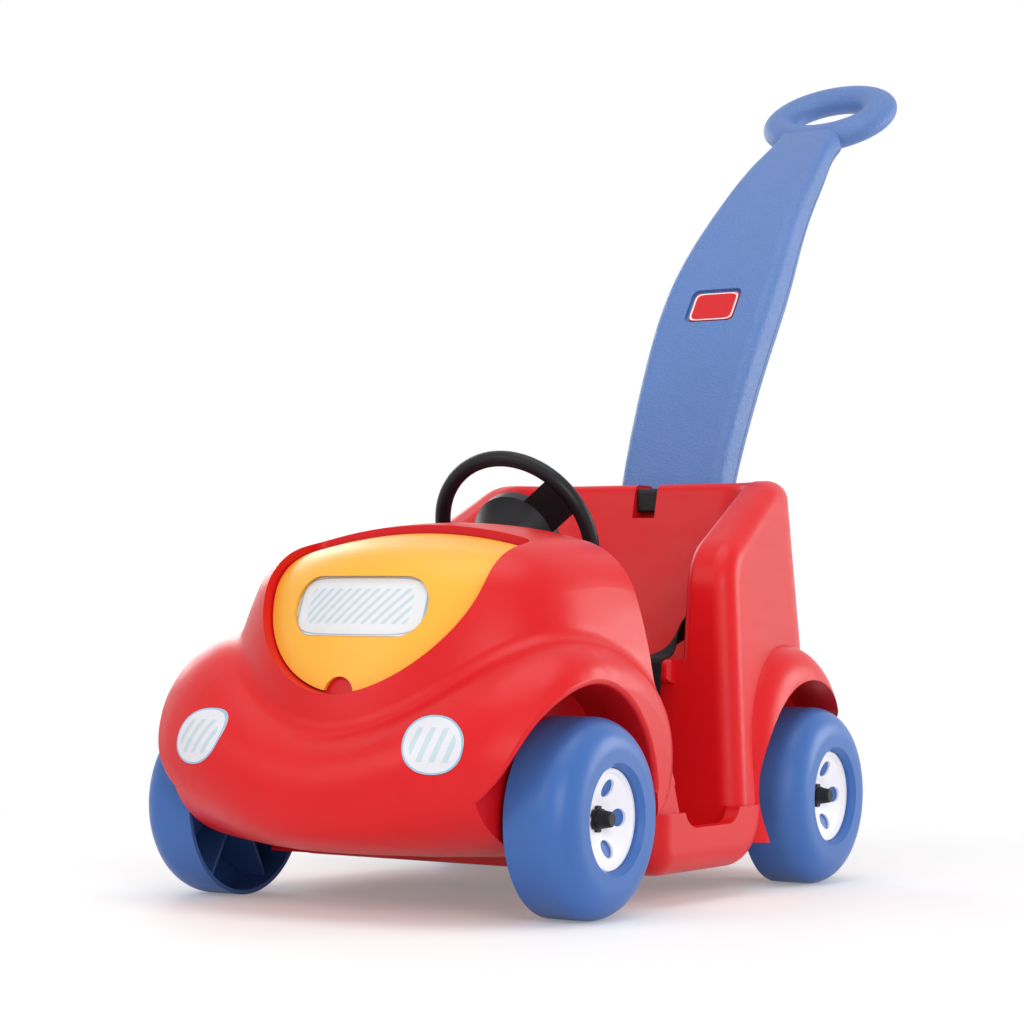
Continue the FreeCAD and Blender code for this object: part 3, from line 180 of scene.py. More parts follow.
class EffectLibrary:
    """Builds the shader node groups that the finishes share."""

    CELL_DEPTH = -0.6
    FINE_DEPTH = 0.8
    FINE_SCALE = 1.7
    CLOUD_SCALE = 5.0
    CLOUD_RANGE = (0.3, 0.7)
    STREAK_STRETCH = (9.0, 26.0, 60.0)
    STREAK_RANGE = (0.35, 0.75)
    STREAK_SHARE = 0.6
    CLOUD_SHARE = 0.4
    BAR_SLANT = -0.36
    BAR_EDGE = (0.52, 0.58)
    BAR_TOP = (0.56, 0.6)
    BAR_REACH = (0.74, 0.78)
    RIB_HEIGHT = 1.2
    WEFT_HEIGHT = 0.8

    def build(self) -> None:
        """Build every group once."""
        self._grain()
        self._drift()
        self._print()
        self._weave()

    @staticmethod
    def _group(effect: Effect, takes: dict[str, str], gives: dict[str, str],
               ) -> tuple[Tree, bpy.types.Node, bpy.types.Node]:
        """Start a group with named sockets.

        Args:
            effect: the effect that the group is for.
            takes: input names and socket types.
            gives: output names and socket types.

        Returns:
            The tree, its input node and its output node.
        """
        group = bpy.data.node_groups.new(effect.value, "ShaderNodeTree")
        for name, kind in takes.items():
            group.interface.new_socket(name, in_out="INPUT", socket_type=kind)
        for name, kind in gives.items():
            group.interface.new_socket(name, in_out="OUTPUT", socket_type=kind)
        tree = Tree(group)
        return tree, tree.add("NodeGroupInput"), tree.add("NodeGroupOutput")

    def _grain(self) -> None:
        """Pebbled grain of a mould: rounded cells with finer noise on them."""
        tree, given, out = self._group(Effect.GRAIN, {"Scale": "NodeSocketFloat"},
                                       {"Height": "NodeSocketFloat"})
        where = tree.add("ShaderNodeTexCoord").outputs["Object"]
        cells = tree.add("ShaderNodeTexVoronoi", {"Vector": where, "Scale": given.outputs["Scale"]},
                         feature="SMOOTH_F1").outputs["Distance"]
        fine_scale = tree.math("MULTIPLY", given.outputs["Scale"], self.FINE_SCALE)
        fine = tree.noise(where, scale=fine_scale, detail=2.0)
        height = tree.math("MULTIPLY_ADD", cells, self.CELL_DEPTH,
                           tree.math("MULTIPLY", fine, self.FINE_DEPTH))
        tree.tree.links.new(height, out.inputs["Height"])

    def _drift(self) -> None:
        """Slow drift of colour and sheen over a moulding, with faint rubbed streaks."""
        tree, given, out = self._group(
            Effect.DRIFT,
            {"Colour": "NodeSocketColor", "Drift": "NodeSocketFloat",
             "Roughness": "NodeSocketFloat", "Spread": "NodeSocketFloat"},
            {"Colour": "NodeSocketColor", "Roughness": "NodeSocketFloat"})
        where = tree.add("ShaderNodeTexCoord").outputs["Object"]
        cloud = tree.noise(where, scale=self.CLOUD_SCALE, detail=3.0)
        cloud = tree.spread(cloud, *self.CLOUD_RANGE, -1.0, 1.0)
        level = tree.math("MULTIPLY_ADD", cloud, given.outputs["Drift"], 1.0)
        tinted = tree.mix(1.0, given.outputs["Colour"],
                          tree.add("ShaderNodeCombineColor", {0: level, 1: level, 2: level}).outputs[0],
                          "MULTIPLY")
        streak_place = tree.add("ShaderNodeMapping", {"Vector": where, "Scale": self.STREAK_STRETCH})
        streak = tree.noise(streak_place.outputs[0], scale=1.0, detail=4.0)
        streak = tree.spread(streak, *self.STREAK_RANGE, -1.0, 1.0)
        both = tree.math("MULTIPLY_ADD", streak, self.STREAK_SHARE,
                         tree.math("MULTIPLY", cloud, self.CLOUD_SHARE))
        rough = tree.math("MULTIPLY_ADD", both, given.outputs["Spread"], given.outputs["Roughness"])
        tree.tree.links.new(tinted, out.inputs["Colour"])
        tree.tree.links.new(rough, out.inputs["Roughness"])

    def _print(self) -> None:
        """Rounded border line and slanted bars on a face of half width and half height 1."""
        tree, given, out = self._group(
            Effect.PRINT,
            {"Across": "NodeSocketFloat", "Up": "NodeSocketFloat", "Power": "NodeSocketFloat",
             "Border": "NodeSocketFloat", "Line": "NodeSocketFloat", "Pitch": "NodeSocketFloat"},
            {"Border": "NodeSocketFloat", "Bars": "NodeSocketFloat"})
        across, up, power = (given.outputs[name] for name in ("Across", "Up", "Power"))
        reach = tree.math(
            "ADD", tree.math("POWER", tree.math("ABSOLUTE", across), power),
            tree.math("POWER", tree.math("ABSOLUTE", up), power))
        reach = tree.math("POWER", reach, tree.math("DIVIDE", 1.0, power))
        off_line = tree.math("ABSOLUTE", tree.math("SUBTRACT", reach, given.outputs["Border"]))
        border = tree.math("LESS_THAN", off_line, given.outputs["Line"])
        slanted = tree.math("MULTIPLY_ADD", up, self.BAR_SLANT, across)
        wave = tree.math("PINGPONG", slanted, given.outputs["Pitch"])
        wave = tree.math("DIVIDE", wave, given.outputs["Pitch"])
        bars = tree.math("MULTIPLY", tree.spread(wave, *self.BAR_EDGE, 0.0, 1.0),
                         tree.spread(tree.math("ABSOLUTE", up), *self.BAR_TOP, 1.0, 0.0))
        bars = tree.math("MULTIPLY", bars, tree.spread(reach, *self.BAR_REACH, 1.0, 0.0))
        tree.tree.links.new(border, out.inputs["Border"])
        tree.tree.links.new(bars, out.inputs["Bars"])

    def _weave(self) -> None:
        """Ribbed webbing on the strip's own UV map: warp ribs with a fine weft across; Shade is painted
        shade, darker where the weave sinks.
        """
        tree, given, out = self._group(
            Effect.WEAVE, {"Ribs": "NodeSocketFloat", "Rows": "NodeSocketFloat"},
            {"Height": "NodeSocketFloat", "Shade": "NodeSocketFloat"})
        place = tree.add("ShaderNodeSeparateXYZ", {0: tree.add("ShaderNodeUVMap").outputs[0]})
        warp = tree.math("MULTIPLY", place.outputs[0], given.outputs["Ribs"])
        rib = tree.math("PINGPONG", warp, 0.5)
        row = tree.math("MULTIPLY", place.outputs[1], given.outputs["Rows"])
        shifted = tree.math("MULTIPLY_ADD", tree.math("FLOOR", warp), 0.5, row)
        weft = tree.math("PINGPONG", shifted, 0.5)
        height = tree.math("MULTIPLY_ADD", rib, self.RIB_HEIGHT,
                           tree.math("MULTIPLY", weft, self.WEFT_HEIGHT))
        tree.tree.links.new(height, out.inputs["Height"])
        # Shade: painted shade, lowest where the weave sinks between the ribs
        tree.tree.links.new(tree.math("MINIMUM", height, 1.0), out.inputs["Shade"])


def shaded(colour: Colour, share: float) -> Colour:
    """An opaque colour at a share of its strength; returns the darker colour."""
    red, green, blue, alpha = colour
    return share * red, share * green, share * blue, alpha


@dataclass(frozen=True)
class Plastic:
    """A moulded plastic finish with drifting colour, uneven sheen and mould grain."""

    name: str
    colour: Colour
    roughness: float = 0.36
    drift: float = 0.05
    spread: float = 0.06
    grain: float = 900.0
    grain_depth: float = 0.00006
    metallic: float = 0.0
    specular: float = 0.26

    def material(self) -> bpy.types.Material:
        """Build the finish, or give the one already built.

        Returns:
            The material.
        """
        found = bpy.data.materials.get(self.name)
        if found:
            return found
        made = bpy.data.materials.new(self.name)
        made.use_nodes = True
        tree = Tree(made.node_tree)
        colour = self.colouring(tree)
        drifted = tree.effect(Effect.DRIFT, {
            "Colour": colour, "Drift": self.drift, "Roughness": self.roughness, "Spread": self.spread})
        bump = tree.add("ShaderNodeBump", {
            "Height": self.relief(tree), "Strength": 1.0, "Distance": self.grain_depth})
        surface = tree.add("ShaderNodeBsdfPrincipled", {
            "Base Color": drifted.outputs["Colour"], "Roughness": drifted.outputs["Roughness"],
            "Normal": bump.outputs[0], "Metallic": self.metallic, "Specular IOR Level": self.specular})
        tree.add("ShaderNodeOutputMaterial", {"Surface": surface.outputs[0]})
        made.diffuse_color = self.colour
        return made

    def colouring(self, tree: Tree) -> Value:
        """The colour before it drifts; a plain finish has one colour."""
        return self.colour

    def relief(self, tree: Tree) -> Socket:
        """The height that the bump reads; a plain finish has its mould grain."""
        return tree.effect(Effect.GRAIN, {"Scale": self.grain}).outputs["Height"]

    def dress(self, *nodes: str) -> None:
        """Give this finish to CAD nodes.

        Args:
            nodes: the nodes' names.
        """
        for name in nodes:
            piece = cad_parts[name]
            if not piece.material_slots:
                piece.data.materials.append(self.material())
            for slot in piece.material_slots:
                slot.material = self.material()


@dataclass(frozen=True)
class SeamedPlastic(Plastic):
    """Grained plastic of the two-sided handle, with the mould's parting line along its sides, darkened
    with painted shade.
    """

    curve_x: float = 0.0
    curve_z: float = 0.0
    seam_radius: float = 1.0
    seam_half: float = 0.0005
    seam_top: float = 1.0
    # painted shade: how dark the parting line's groove is painted
    seam_painted_shade: float = 0.45
    seam_height: float = -1.5

    def seam(self, tree: Tree) -> Socket:
        """Mask of the parting line, an arc about the handle's long curve.

        Args:
            tree: the finish's node tree.

        Returns:
            One in the line and zero away from it.
        """
        where = tree.add("ShaderNodeTexCoord").outputs["Object"]
        axes = tree.add("ShaderNodeSeparateXYZ", {0: where}).outputs
        x = tree.math("SUBTRACT", axes[0], self.curve_x)
        z = tree.math("SUBTRACT", axes[2], self.curve_z)
        squares = tree.math("ADD", tree.math("MULTIPLY", x, x), tree.math("MULTIPLY", z, z))
        radius = tree.math("SQRT", squares)
        off = tree.math("ABSOLUTE", tree.math("SUBTRACT", radius, self.seam_radius))
        near = tree.spread(off, self.seam_half, 2 * self.seam_half, 1.0, 0.0)
        return tree.math("MULTIPLY", near, tree.math("LESS_THAN", axes[2], self.seam_top))

    def colouring(self, tree: Tree) -> Value:
        """Painted shade: darker in the pressed-in parting line."""
        return tree.mix(self.seam(tree), self.colour, shaded(self.colour, self.seam_painted_shade))

    def relief(self, tree: Tree) -> Socket:
        """Mould grain with the parting line pressed in."""
        grain = super().relief(tree)
        return tree.math("MULTIPLY_ADD", self.seam(tree), self.seam_height, grain)


@dataclass(frozen=True)
class PrintedPlastic(Plastic):
    """Plain face with a printed border line and slanted bars, laid on by Object coordinates."""

    centre: Triple = (0.0, 0.0, 0.0)
    turn: Triple = (0.0, 0.0, 0.0)
    half: Pair = (0.03, 0.03)
    power: float = 2.0
    border: float = 0.93
    line: float = 0.03
    pitch: float = 0.2
    border_colour: Colour = (0.3, 0.5, 0.65, 1.0)
    bar_colour: Colour = (0.52, 0.62, 0.68, 1.0)

    def colouring(self, tree: Tree) -> Value:
        """The face's colour with its bars and border.

        Args:
            tree: the finish's node tree.

        Returns:
            The colour before it drifts.
        """
        where = tree.add("ShaderNodeTexCoord").outputs["Object"]
        placed = tree.add("ShaderNodeMapping", {
            "Vector": where, "Location": self.centre, "Rotation": self.turn}, vector_type="TEXTURE")
        axes = tree.add("ShaderNodeSeparateXYZ", {0: placed.outputs[0]}).outputs
        printed = tree.effect(Effect.PRINT, {
            "Across": tree.math("DIVIDE", axes[1], self.half[0]),
            "Up": tree.math("DIVIDE", axes[2], self.half[1]),
            "Power": self.power, "Border": self.border, "Line": self.line, "Pitch": self.pitch})
        barred = tree.mix(printed.outputs["Bars"], self.colour, self.bar_colour)
        return tree.mix(printed.outputs["Border"], barred, self.border_colour)


@dataclass(frozen=True)
class Webbing(Plastic):
    """Woven black webbing, ribbed along its length, with painted shade between the ribs."""

    ribs: float = 14.0
    rows: float = 150.0
    # painted shade: how dark the webbing is painted between its ribs
    gap_painted_shade: float = 0.35

    def weave(self, tree: Tree, output: str) -> Socket:
        """One output of the weave at this webbing's counts."""
        return tree.effect(Effect.WEAVE, {"Ribs": self.ribs, "Rows": self.rows}).outputs[output]

    def colouring(self, tree: Tree) -> Value:
        """Painted shade: darker between the ribs."""
        return tree.mix(self.weave(tree, "Shade"), shaded(self.colour, self.gap_painted_shade), self.colour)

    def relief(self, tree: Tree) -> Socket:
        """The weave's own height."""
        return self.weave(tree, "Height")


RED = Plastic("red_body_plastic", (0.64, 0.007, 0.011, 1.0), roughness=0.36, drift=0.04, grain=1400.0,
              grain_depth=0.00004)
YELLOW = Plastic("yellow_lid_plastic", (0.93, 0.45, 0.05, 1.0), roughness=0.38, drift=0.03, grain=1400.0,
                 grain_depth=0.00004)
BLUE = Plastic("blue_wheel_plastic", (0.048, 0.138, 0.41, 1.0), roughness=0.36, drift=0.04, grain=1500.0,
               grain_depth=0.00003)
HANDLE_BLUE = SeamedPlastic("blue_handle_plastic", (0.084, 0.178, 0.445, 1.0), roughness=0.46,
                            drift=0.04, grain=330.0, grain_depth=0.0011, specular=0.5,
                            curve_x=MIDDLE_X - 1.2187, curve_z=0.1284, seam_radius=0.926, seam_top=0.89)
WHITE = Plastic("white_disc_plastic", (0.88, 0.87, 0.92, 1.0), roughness=0.38, drift=0.02)
BLACK = Plastic("black_fitting_plastic", (0.012, 0.011, 0.014, 1.0), roughness=0.40, drift=0.15,
                spread=0.1, grain=1100.0, grain_depth=0.0001, specular=0.2)
STEEL = Plastic("plain_steel", (0.56, 0.56, 0.58, 1.0), roughness=0.32, drift=0.06, spread=0.1,
                grain=300.0, grain_depth=0.00002, metallic=1.0)
WEBBING = Webbing("black_webbing", (0.014, 0.013, 0.016, 1.0), roughness=0.75, drift=0.1,
                  grain_depth=0.0005, specular=0.2)


def deselect() -> None:
    """Leave nothing selected, in object mode."""
    if bpy.context.mode != "OBJECT":
        bpy.ops.object.mode_set(mode="OBJECT")
    bpy.ops.object.select_all(action="DESELECT")


def activate(piece: bpy.types.Object) -> None:
    """Leave one piece selected and active, and nothing else.

    Args:
        piece: the object that the next operators act on.
    """
    deselect()
    piece.select_set(True)
    bpy.context.view_layer.objects.active = piece


def apply_all(piece: bpy.types.Object) -> None:
    """Apply a piece's modifiers in order.

    Args:
        piece: the object whose modifiers become mesh.
    """
    activate(piece)
    for modifier in list(piece.modifiers):
        bpy.ops.object.modifier_apply(modifier=modifier.name)


def press_face(piece: bpy.types.Object, towards: Vector, steps: Sequence[Pair]) -> None:
    """Inset the flat face that looks one way, step by step, raising or sinking each inset.

    Args:
        piece: the object to shape.
        towards: the way that the face looks.
        steps: for each inset its width and its rise, below 0 to sink.
    """
    activate(piece)
    bpy.context.tool_settings.mesh_select_mode = BY_FACE
    for part in (*piece.data.vertices, *piece.data.edges):
        part.select = False
    for face in piece.data.polygons:
        face.select = face.normal.dot(towards) > FLAT_ON
    bpy.ops.object.mode_set(mode="EDIT")
    for width, rise in steps:
        bpy.ops.mesh.inset(thickness=width, depth=rise)
    bpy.ops.object.mode_set(mode="OBJECT")


def soften(piece: bpy.types.Object, width: float, segments: int) -> None:
    """Round a piece's sharp edges and shade it smooth.

    Args:
        piece: the object to soften.
        width: how far each rounding reaches.
        segments: how many faces each rounding has.
    """
    edge = piece.modifiers.new("soft_edge", "BEVEL")
    edge.width = width
    edge.segments = segments
    edge.limit_method = "ANGLE"
    apply_all(piece)
    bpy.ops.object.shade_smooth_by_angle(angle=SMOOTH_ANGLE)


def finish_piece(piece: bpy.types.Object, finish: Plastic, body: str) -> bpy.types.Object:
    """Settle a new piece: place in its mesh, finish on, riding on its body.

    Args:
        piece: the modelled object.
        finish: what it is made of.
        body: the body it moves with.

    Returns:
        The same object.
    """
    activate(piece)
    bpy.ops.object.transform_apply(location=True, rotation=True, scale=True)
    piece.data.materials.clear()
    piece.data.materials.append(finish.material())
    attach(piece, body)
    LOG.info("piece %s rides on %s", piece.name, body)
    return piece


@dataclass
class Bodywork:
    """The red moulded body and seat tub with the axles and pins."""

    def dress(self) -> None:
        """Give the body and its fixed fittings their finishes."""
        RED.dress("body_shell", "seat_tub")
        STEEL.dress("front_axle", "rear_axle", "lid_hinge_pin", "handle_pivot_pin", "latch_pin")
        LOG.info("bodywork dressed")


@dataclass
class HoodLid:
    """The yellow lid over the bin, with a printed panel in its recess."""

    panel_centre: Triple = (MIDDLE_X + 0.30, 0.0, 0.291)
    panel_half: Pair = (0.078, 0.029)
    hinge_x: float = MIDDLE_X + 0.227
    hinge_z: float = 0.3485
    bore_reach: float = 0.0022
    bore_facing: float = -0.9
    barrel_end: float = 0.0615
    merge_distance: float = 1e-6
    smooth_angle: float = math.radians(30.0)

    def in_bore(self, face: bpy.types.MeshPolygon) -> bool:
        """Tell whether a face lines the hinge's bore outside its barrels.

        Args:
            face: a face of the lid.

        Returns:
            True where the face looks at the hinge's axis from close by.
        """
        off = face.center - Vector((self.hinge_x, face.center.y, self.hinge_z))
        near = off.length < self.bore_reach and abs(face.center.y) > self.barrel_end
        return near and face.normal.dot(off.normalized()) < self.bore_facing

    def weld(self, skin: bpy.types.Object) -> None:
        """Join the faces along their edges and drop the normals stored with them.

        Args:
            skin: the copy of the lid.
        """
        activate(skin)
        bpy.context.tool_settings.mesh_select_mode = BY_FACE
        bpy.ops.object.mode_set(mode="EDIT")
        bpy.ops.mesh.select_all(action="SELECT")
        bpy.ops.mesh.remove_doubles(threshold=self.merge_distance)
        bpy.ops.mesh.customdata_custom_splitnormals_clear()
        bpy.ops.mesh.select_all(action="DESELECT")
        bpy.ops.object.mode_set(mode="OBJECT")

    def close_bore(self, skin: bpy.types.Object) -> None:
        """Take the bore's lining out and close the wall over it.

        Args:
            skin: the welded copy of the lid, active and with nothing picked.
        """
        for face in skin.data.polygons:
            face.select = self.in_bore(face)
        bpy.ops.object.mode_set(mode="EDIT")
        bpy.ops.mesh.delete(type="FACE")
        bpy.context.tool_settings.mesh_select_mode = BY_EDGE
        bpy.ops.mesh.select_non_manifold(extend=False)
        bpy.ops.mesh.fill_holes(sides=0)
        bpy.ops.mesh.select_all(action="SELECT")
        bpy.ops.mesh.quads_convert_to_tris()
        bpy.ops.object.mode_set(mode="OBJECT")
        bpy.ops.object.shade_smooth_by_angle(angle=self.smooth_angle)

    def skin(self) -> bpy.types.Object:
        """Copy the lid with its wall closed where the bore runs out of it.

        Returns:
            The copy, which stands for the lid's node.
        """
        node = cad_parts["hood_lid"]
        skin = bpy.data.objects.new("lid_skin", node.data.copy())
        bpy.context.scene.collection.objects.link(skin)
        self.weld(skin)
        self.close_bore(skin)
        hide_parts("hood_lid")
        return finish_piece(skin, YELLOW, "hood")

    def dress(self) -> None:
        """Make the lid's skin and give the panel its finish."""
        self.skin()
        panel = PrintedPlastic(
            "lid_panel_print", (0.74, 0.75, 0.78, 1.0), roughness=0.3, drift=0.02,
            centre=self.panel_centre, half=self.panel_half, power=5.0, border=0.94, line=0.02,
            pitch=0.07, border_colour=(0.36, 0.5, 0.62, 1.0))
        panel.dress("hood_panel")
        LOG.info("hood lid dressed")


@dataclass
class Headlamps:
    """Two oval lamps, each a white face with a thin border and slanted bars."""

    centre: Triple = (MIDDLE_X + 0.314, 0.107, 0.165)
    half: Pair = (0.030, 0.027)
    aim: float = math.radians(22.0)

    def dress(self) -> None:
        """Give each lamp its printed face."""
        for side in Side:
            x, y, z = self.centre
            face = PrintedPlastic(
                f"{side.label}_lamp_print", (0.72, 0.71, 0.76, 1.0), roughness=0.28, drift=0.02,
                centre=(x, side.value * y, z), turn=(0.0, 0.0, side.value * self.aim), half=self.half,
                power=2.2, border=0.955, line=0.03, pitch=0.21)
            face.dress(f"{side.label}_headlight")
        LOG.info("headlamps dressed")


@dataclass
class RoadWheels:
    """Four hollow wheels with white discs, black caps and spacers."""

    def dress(self) -> None:
        """Give every corner's nodes their finishes."""
        for axle in Axle:
            for side in Side:
                corner = f"{axle.value}_{side.label}"
                BLUE.dress(f"{corner}_wheel")
                WHITE.dress(f"{corner}_hub_disc")
                BLACK.dress(f"{corner}_axle_cap", f"{corner}_spacer")
        LOG.info("road wheels dressed")


@dataclass
class SteeringGear:
    """Black steering wheel with its column, collar and horn button."""

    def dress(self) -> None:
        """Give the steering its finishes."""
        BLACK.dress("steering_wheel", "steering_collar", "horn_button")
        STEEL.dress("steering_column")
        LOG.info("steering dressed")


@dataclass
class PushHandle:
    """Blue folding handle with its bordered plate, and the black latch lever on the seat back's rim."""

    badge_centre: Triple = (MIDDLE_X - 0.4221, 0.0, 0.6596)
    badge_half: Pair = (0.029, 0.021)
    badge_lean: float = math.radians(-33.7)

    def dress(self) -> None:
        """Give the handle, its plate and the latch their finishes."""
        HANDLE_BLUE.dress("push_handle")
        BLACK.dress("handle_latch")
        plate = PrintedPlastic(
            "badge_plate_print", (0.62, 0.012, 0.018, 1.0), roughness=0.3, drift=0.03,
            centre=self.badge_centre, turn=(0.0, self.badge_lean, 0.0), half=self.badge_half,
            power=7.0, border=0.95, line=0.04, pitch=0.5,
            border_colour=(0.82, 0.72, 0.70, 1.0), bar_colour=(0.62, 0.012, 0.018, 1.0))
        plate.dress("handle_badge")
        LOG.info("push handle dressed")


@dataclass(frozen=True)
class Station:
    """One place along a webbing: its middle and the way it is wide."""

    middle: Vector
    wide: Vector


@dataclass
class LapBelt:
    """Two webbings from the arms over the seat's front edge, with a buckle and its tongue.

    The left webbing's run is given in three stretches: arm_run along the arm's wall, each place from
    arm_x, the car's middle and the seat, with the way that the webbing is wide there; bend_angles over
    the seat's front edge, in degrees; and hang_run down to the fastener, by height over its end and
    shift inward.
    """

    arm_run: tuple[tuple[Triple, Triple], ...] = (
        ((-0.098, 0.146, 0.062), (0.35, 0.05, 0.93)),
        ((-0.080, 0.143, 0.052), (0.40, 0.10, 0.90)),
        ((-0.058, 0.138, 0.038), (0.45, 0.20, 0.86)),
        ((-0.034, 0.132, 0.022), (0.42, 0.55, 0.70)),
        ((-0.013, 0.127, 0.004), (0.10, 0.98, 0.10)))
    bend_angles: tuple[float, ...] = (0.0, 30.0, 60.0, 90.0)
    hang_run: tuple[Pair, ...] = ((0.060, 0.001), (0.0, 0.002))
    width: float = 0.030
    thickness: float = 0.0014
    arm_x: float = MIDDLE_X - 0.052
    belt_y: float = 0.125
    seat_z: float = 0.241
    lip: float = 0.010
    lip_turn: float = 0.007
    lift: float = 0.0012
    end_z: float = 0.138
    rows: int = 96
    columns: int = 8
    edge_round: float = 0.0005
    length_steps: int = 200
    rivet_sides: int = 40
    rivet_facing: Triple = (0.05, -1.0, 0.05)
    rivet_round: float = 0.0004
    rivet_radius: float = 0.006
    rivet_head: float = 0.0016
    rivet_shank: float = 0.0050
    rivet_inset: float = 0.009
    rivet_steps: tuple[Pair, ...] = ((0.0022, 0.0007), (0.0014, 0.0), (0.0006, -0.0005))
    button_size: Triple = (0.003, 0.020, 0.015)
    button_steps: tuple[Pair, ...] = ((0.0024, 0.0), (0.0010, -0.0006))
    button_round: float = 0.0006
    button_place: Triple = (MIDDLE_X - 0.0336, 0.123, 0.124)

    def stations(self) -> list[Station]:
        """The left webbing's places, as the frame's strip has them.

        Returns:
            Stations from the arm's wall to the fastener.
        """
        seat = self.seat_z + self.lift
        across = Vector((0.0, 1.0, 0.0))
        places = [Station(Vector((self.arm_x + x, y, seat + z)), Vector(wide))
                  for (x, y, z), wide in self.arm_run]
        turn_x = self.arm_x + self.lip - self.lip_turn
        centre = Vector((turn_x, self.belt_y, self.seat_z - self.lip_turn))
        for angle in self.bend_angles:
            out = Vector((math.sin(math.radians(angle)), 0.0, math.cos(math.radians(angle))))
            places.append(Station(centre + out * (self.lip_turn + self.lift), across))
        hang_x = self.arm_x + self.lip + self.lift
        for height, inward in self.hang_run:
            places.append(Station(Vector((hang_x, self.belt_y - inward, self.end_z + height)), across))
        return places

    @staticmethod
    def smooth(row: Sequence[Vector], share: float) -> Vector:
        """A point on the smooth run through a row of vectors.

        Args:
            row: the vectors, in order.
            share: where on the run, from 0 to 1.

        Returns:
            The vector there.
        """
        just_short = 1e-6
        along = min(share * (len(row) - 1), len(row) - 1 - just_short)
        start = int(along)
        t = along - start
        a, b, c, d = (row[min(max(start + k, 0), len(row) - 1)] for k in (-1, 0, 1, 2))
        return 0.5 * (2 * b + (c - a) * t + (2 * a - 5 * b + 4 * c - d) * t ** 2
                      + (3 * b - a - 3 * c + d) * t ** 3)

    def length(self, middles: Sequence[Vector]) -> float:
        """The webbing's length, flat.

        Args:
            middles: the middles of its stations, in order.

        Returns:
            The length along its middle.
        """
        run = [self.smooth(middles, k / self.length_steps) for k in range(self.length_steps + 1)]
        return sum((after - before).length for before, after in zip(run, run[1:]))

    def webbing(self, side: Side) -> bpy.types.Object:
        """Args:
            side: which side of the car.

        Returns:
            The strip.
        """
        deselect()
        bpy.ops.mesh.primitive_grid_add(x_subdivisions=self.columns, y_subdivisions=self.rows, size=1.0,
                                        calc_uvs=True)
        strip = bpy.context.object
        strip.name = f"{side.label}_webbing"
        places = self.stations()
        middles = [place.middle for place in places]
        wides = [place.wide for place in places]
        for vertex in strip.data.vertices:
            share = 0.5 - vertex.co.y
            wide = self.smooth(wides, share).normalized()
            spot = self.smooth(middles, share) + wide * (vertex.co.x * self.width)
            spot.y *= side.value
            vertex.co = spot
        skin = strip.modifiers.new("thickness", "SOLIDIFY")
        skin.thickness = self.thickness
        skin.offset = 0.0
        soften(strip, self.edge_round, segments=2)
        bpy.ops.object.mode_set(mode="EDIT")
        bpy.ops.mesh.select_all(action="SELECT")
        bpy.ops.mesh.normals_make_consistent(inside=False)
        bpy.ops.object.mode_set(mode="OBJECT")
        finish_piece(strip, WEBBING, "car")
        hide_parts(f"{side.label}_belt")
        return strip

    def rivet(self, side: Side) -> bpy.types.Object:
        """Model the rivet that holds one webbing's end to the arm, with its shank in the wall.

        Args:
            side: which side of the car.

        Returns:
            The rivet.
        """
        first, second = self.stations()[:2]
        run = (second.middle - first.middle).normalized()
        rise = (self.thickness + self.rivet_head - self.rivet_shank) / 2
        place = first.middle + run * self.rivet_inset + Vector(self.rivet_facing).normalized() * rise
        place.y *= side.value
        deselect()
        bpy.ops.mesh.primitive_cylinder_add(vertices=self.rivet_sides, radius=self.rivet_radius,
                                            depth=self.rivet_head + self.rivet_shank, location=place,
                                            rotation=(math.pi / 2, 0.0, 0.0))
        rivet = bpy.context.object
        rivet.name = f"{side.label}_belt_rivet"
        bpy.ops.object.transform_apply(location=False, rotation=True, scale=False)
        press_face(rivet, Vector((0.0, -side.value, 0.0)), self.rivet_steps)
        soften(rivet, self.rivet_round, segments=3)
        return finish_piece(rivet, BLACK, "car")

    def button(self) -> bpy.types.Object:
        """Model the release button on the buckle's face.

        Returns:
            The button.
        """
        deselect()
        bpy.ops.mesh.primitive_cube_add(size=1.0, location=self.button_place)
        button = bpy.context.object
        button.name = "buckle_button"
        button.scale = self.button_size
        bpy.ops.object.transform_apply(location=False, rotation=False, scale=True)
        press_face(button, Vector((1.0, 0.0, 0.0)), self.button_steps)
        soften(button, self.button_round, segments=3)
        return finish_piece(button, BLACK, "car")

    def build(self) -> None:
        """Model both webbings with their rivets and the button, and dress the fasteners."""
        for side in Side:
            self.webbing(side)
            self.rivet(side)
        self.button()
        BLACK.dress("belt_buckle", "belt_tongue")


@dataclass(frozen=True)
class SoftLamp:
    """A large soft studio lamp aimed at the car."""

    name: str
    place: Triple
    size: float
    power: float
    target: Triple = (0.15, 0.0, 0.3)

    def build(self) -> None:
        """Add the lamp, facing the middle of the car."""
        deselect()
        bpy.ops.object.light_add(type="AREA", location=self.place)
        lamp = bpy.context.object
        lamp.name = self.name
        lamp.data.shape = "DISK"
        lamp.data.size = self.size
        lamp.data.energy = self.power
        aim = Vector(self.target) - Vector(self.place)
        lamp.rotation_euler = aim.to_track_quat("-Z", "Y").to_euler()


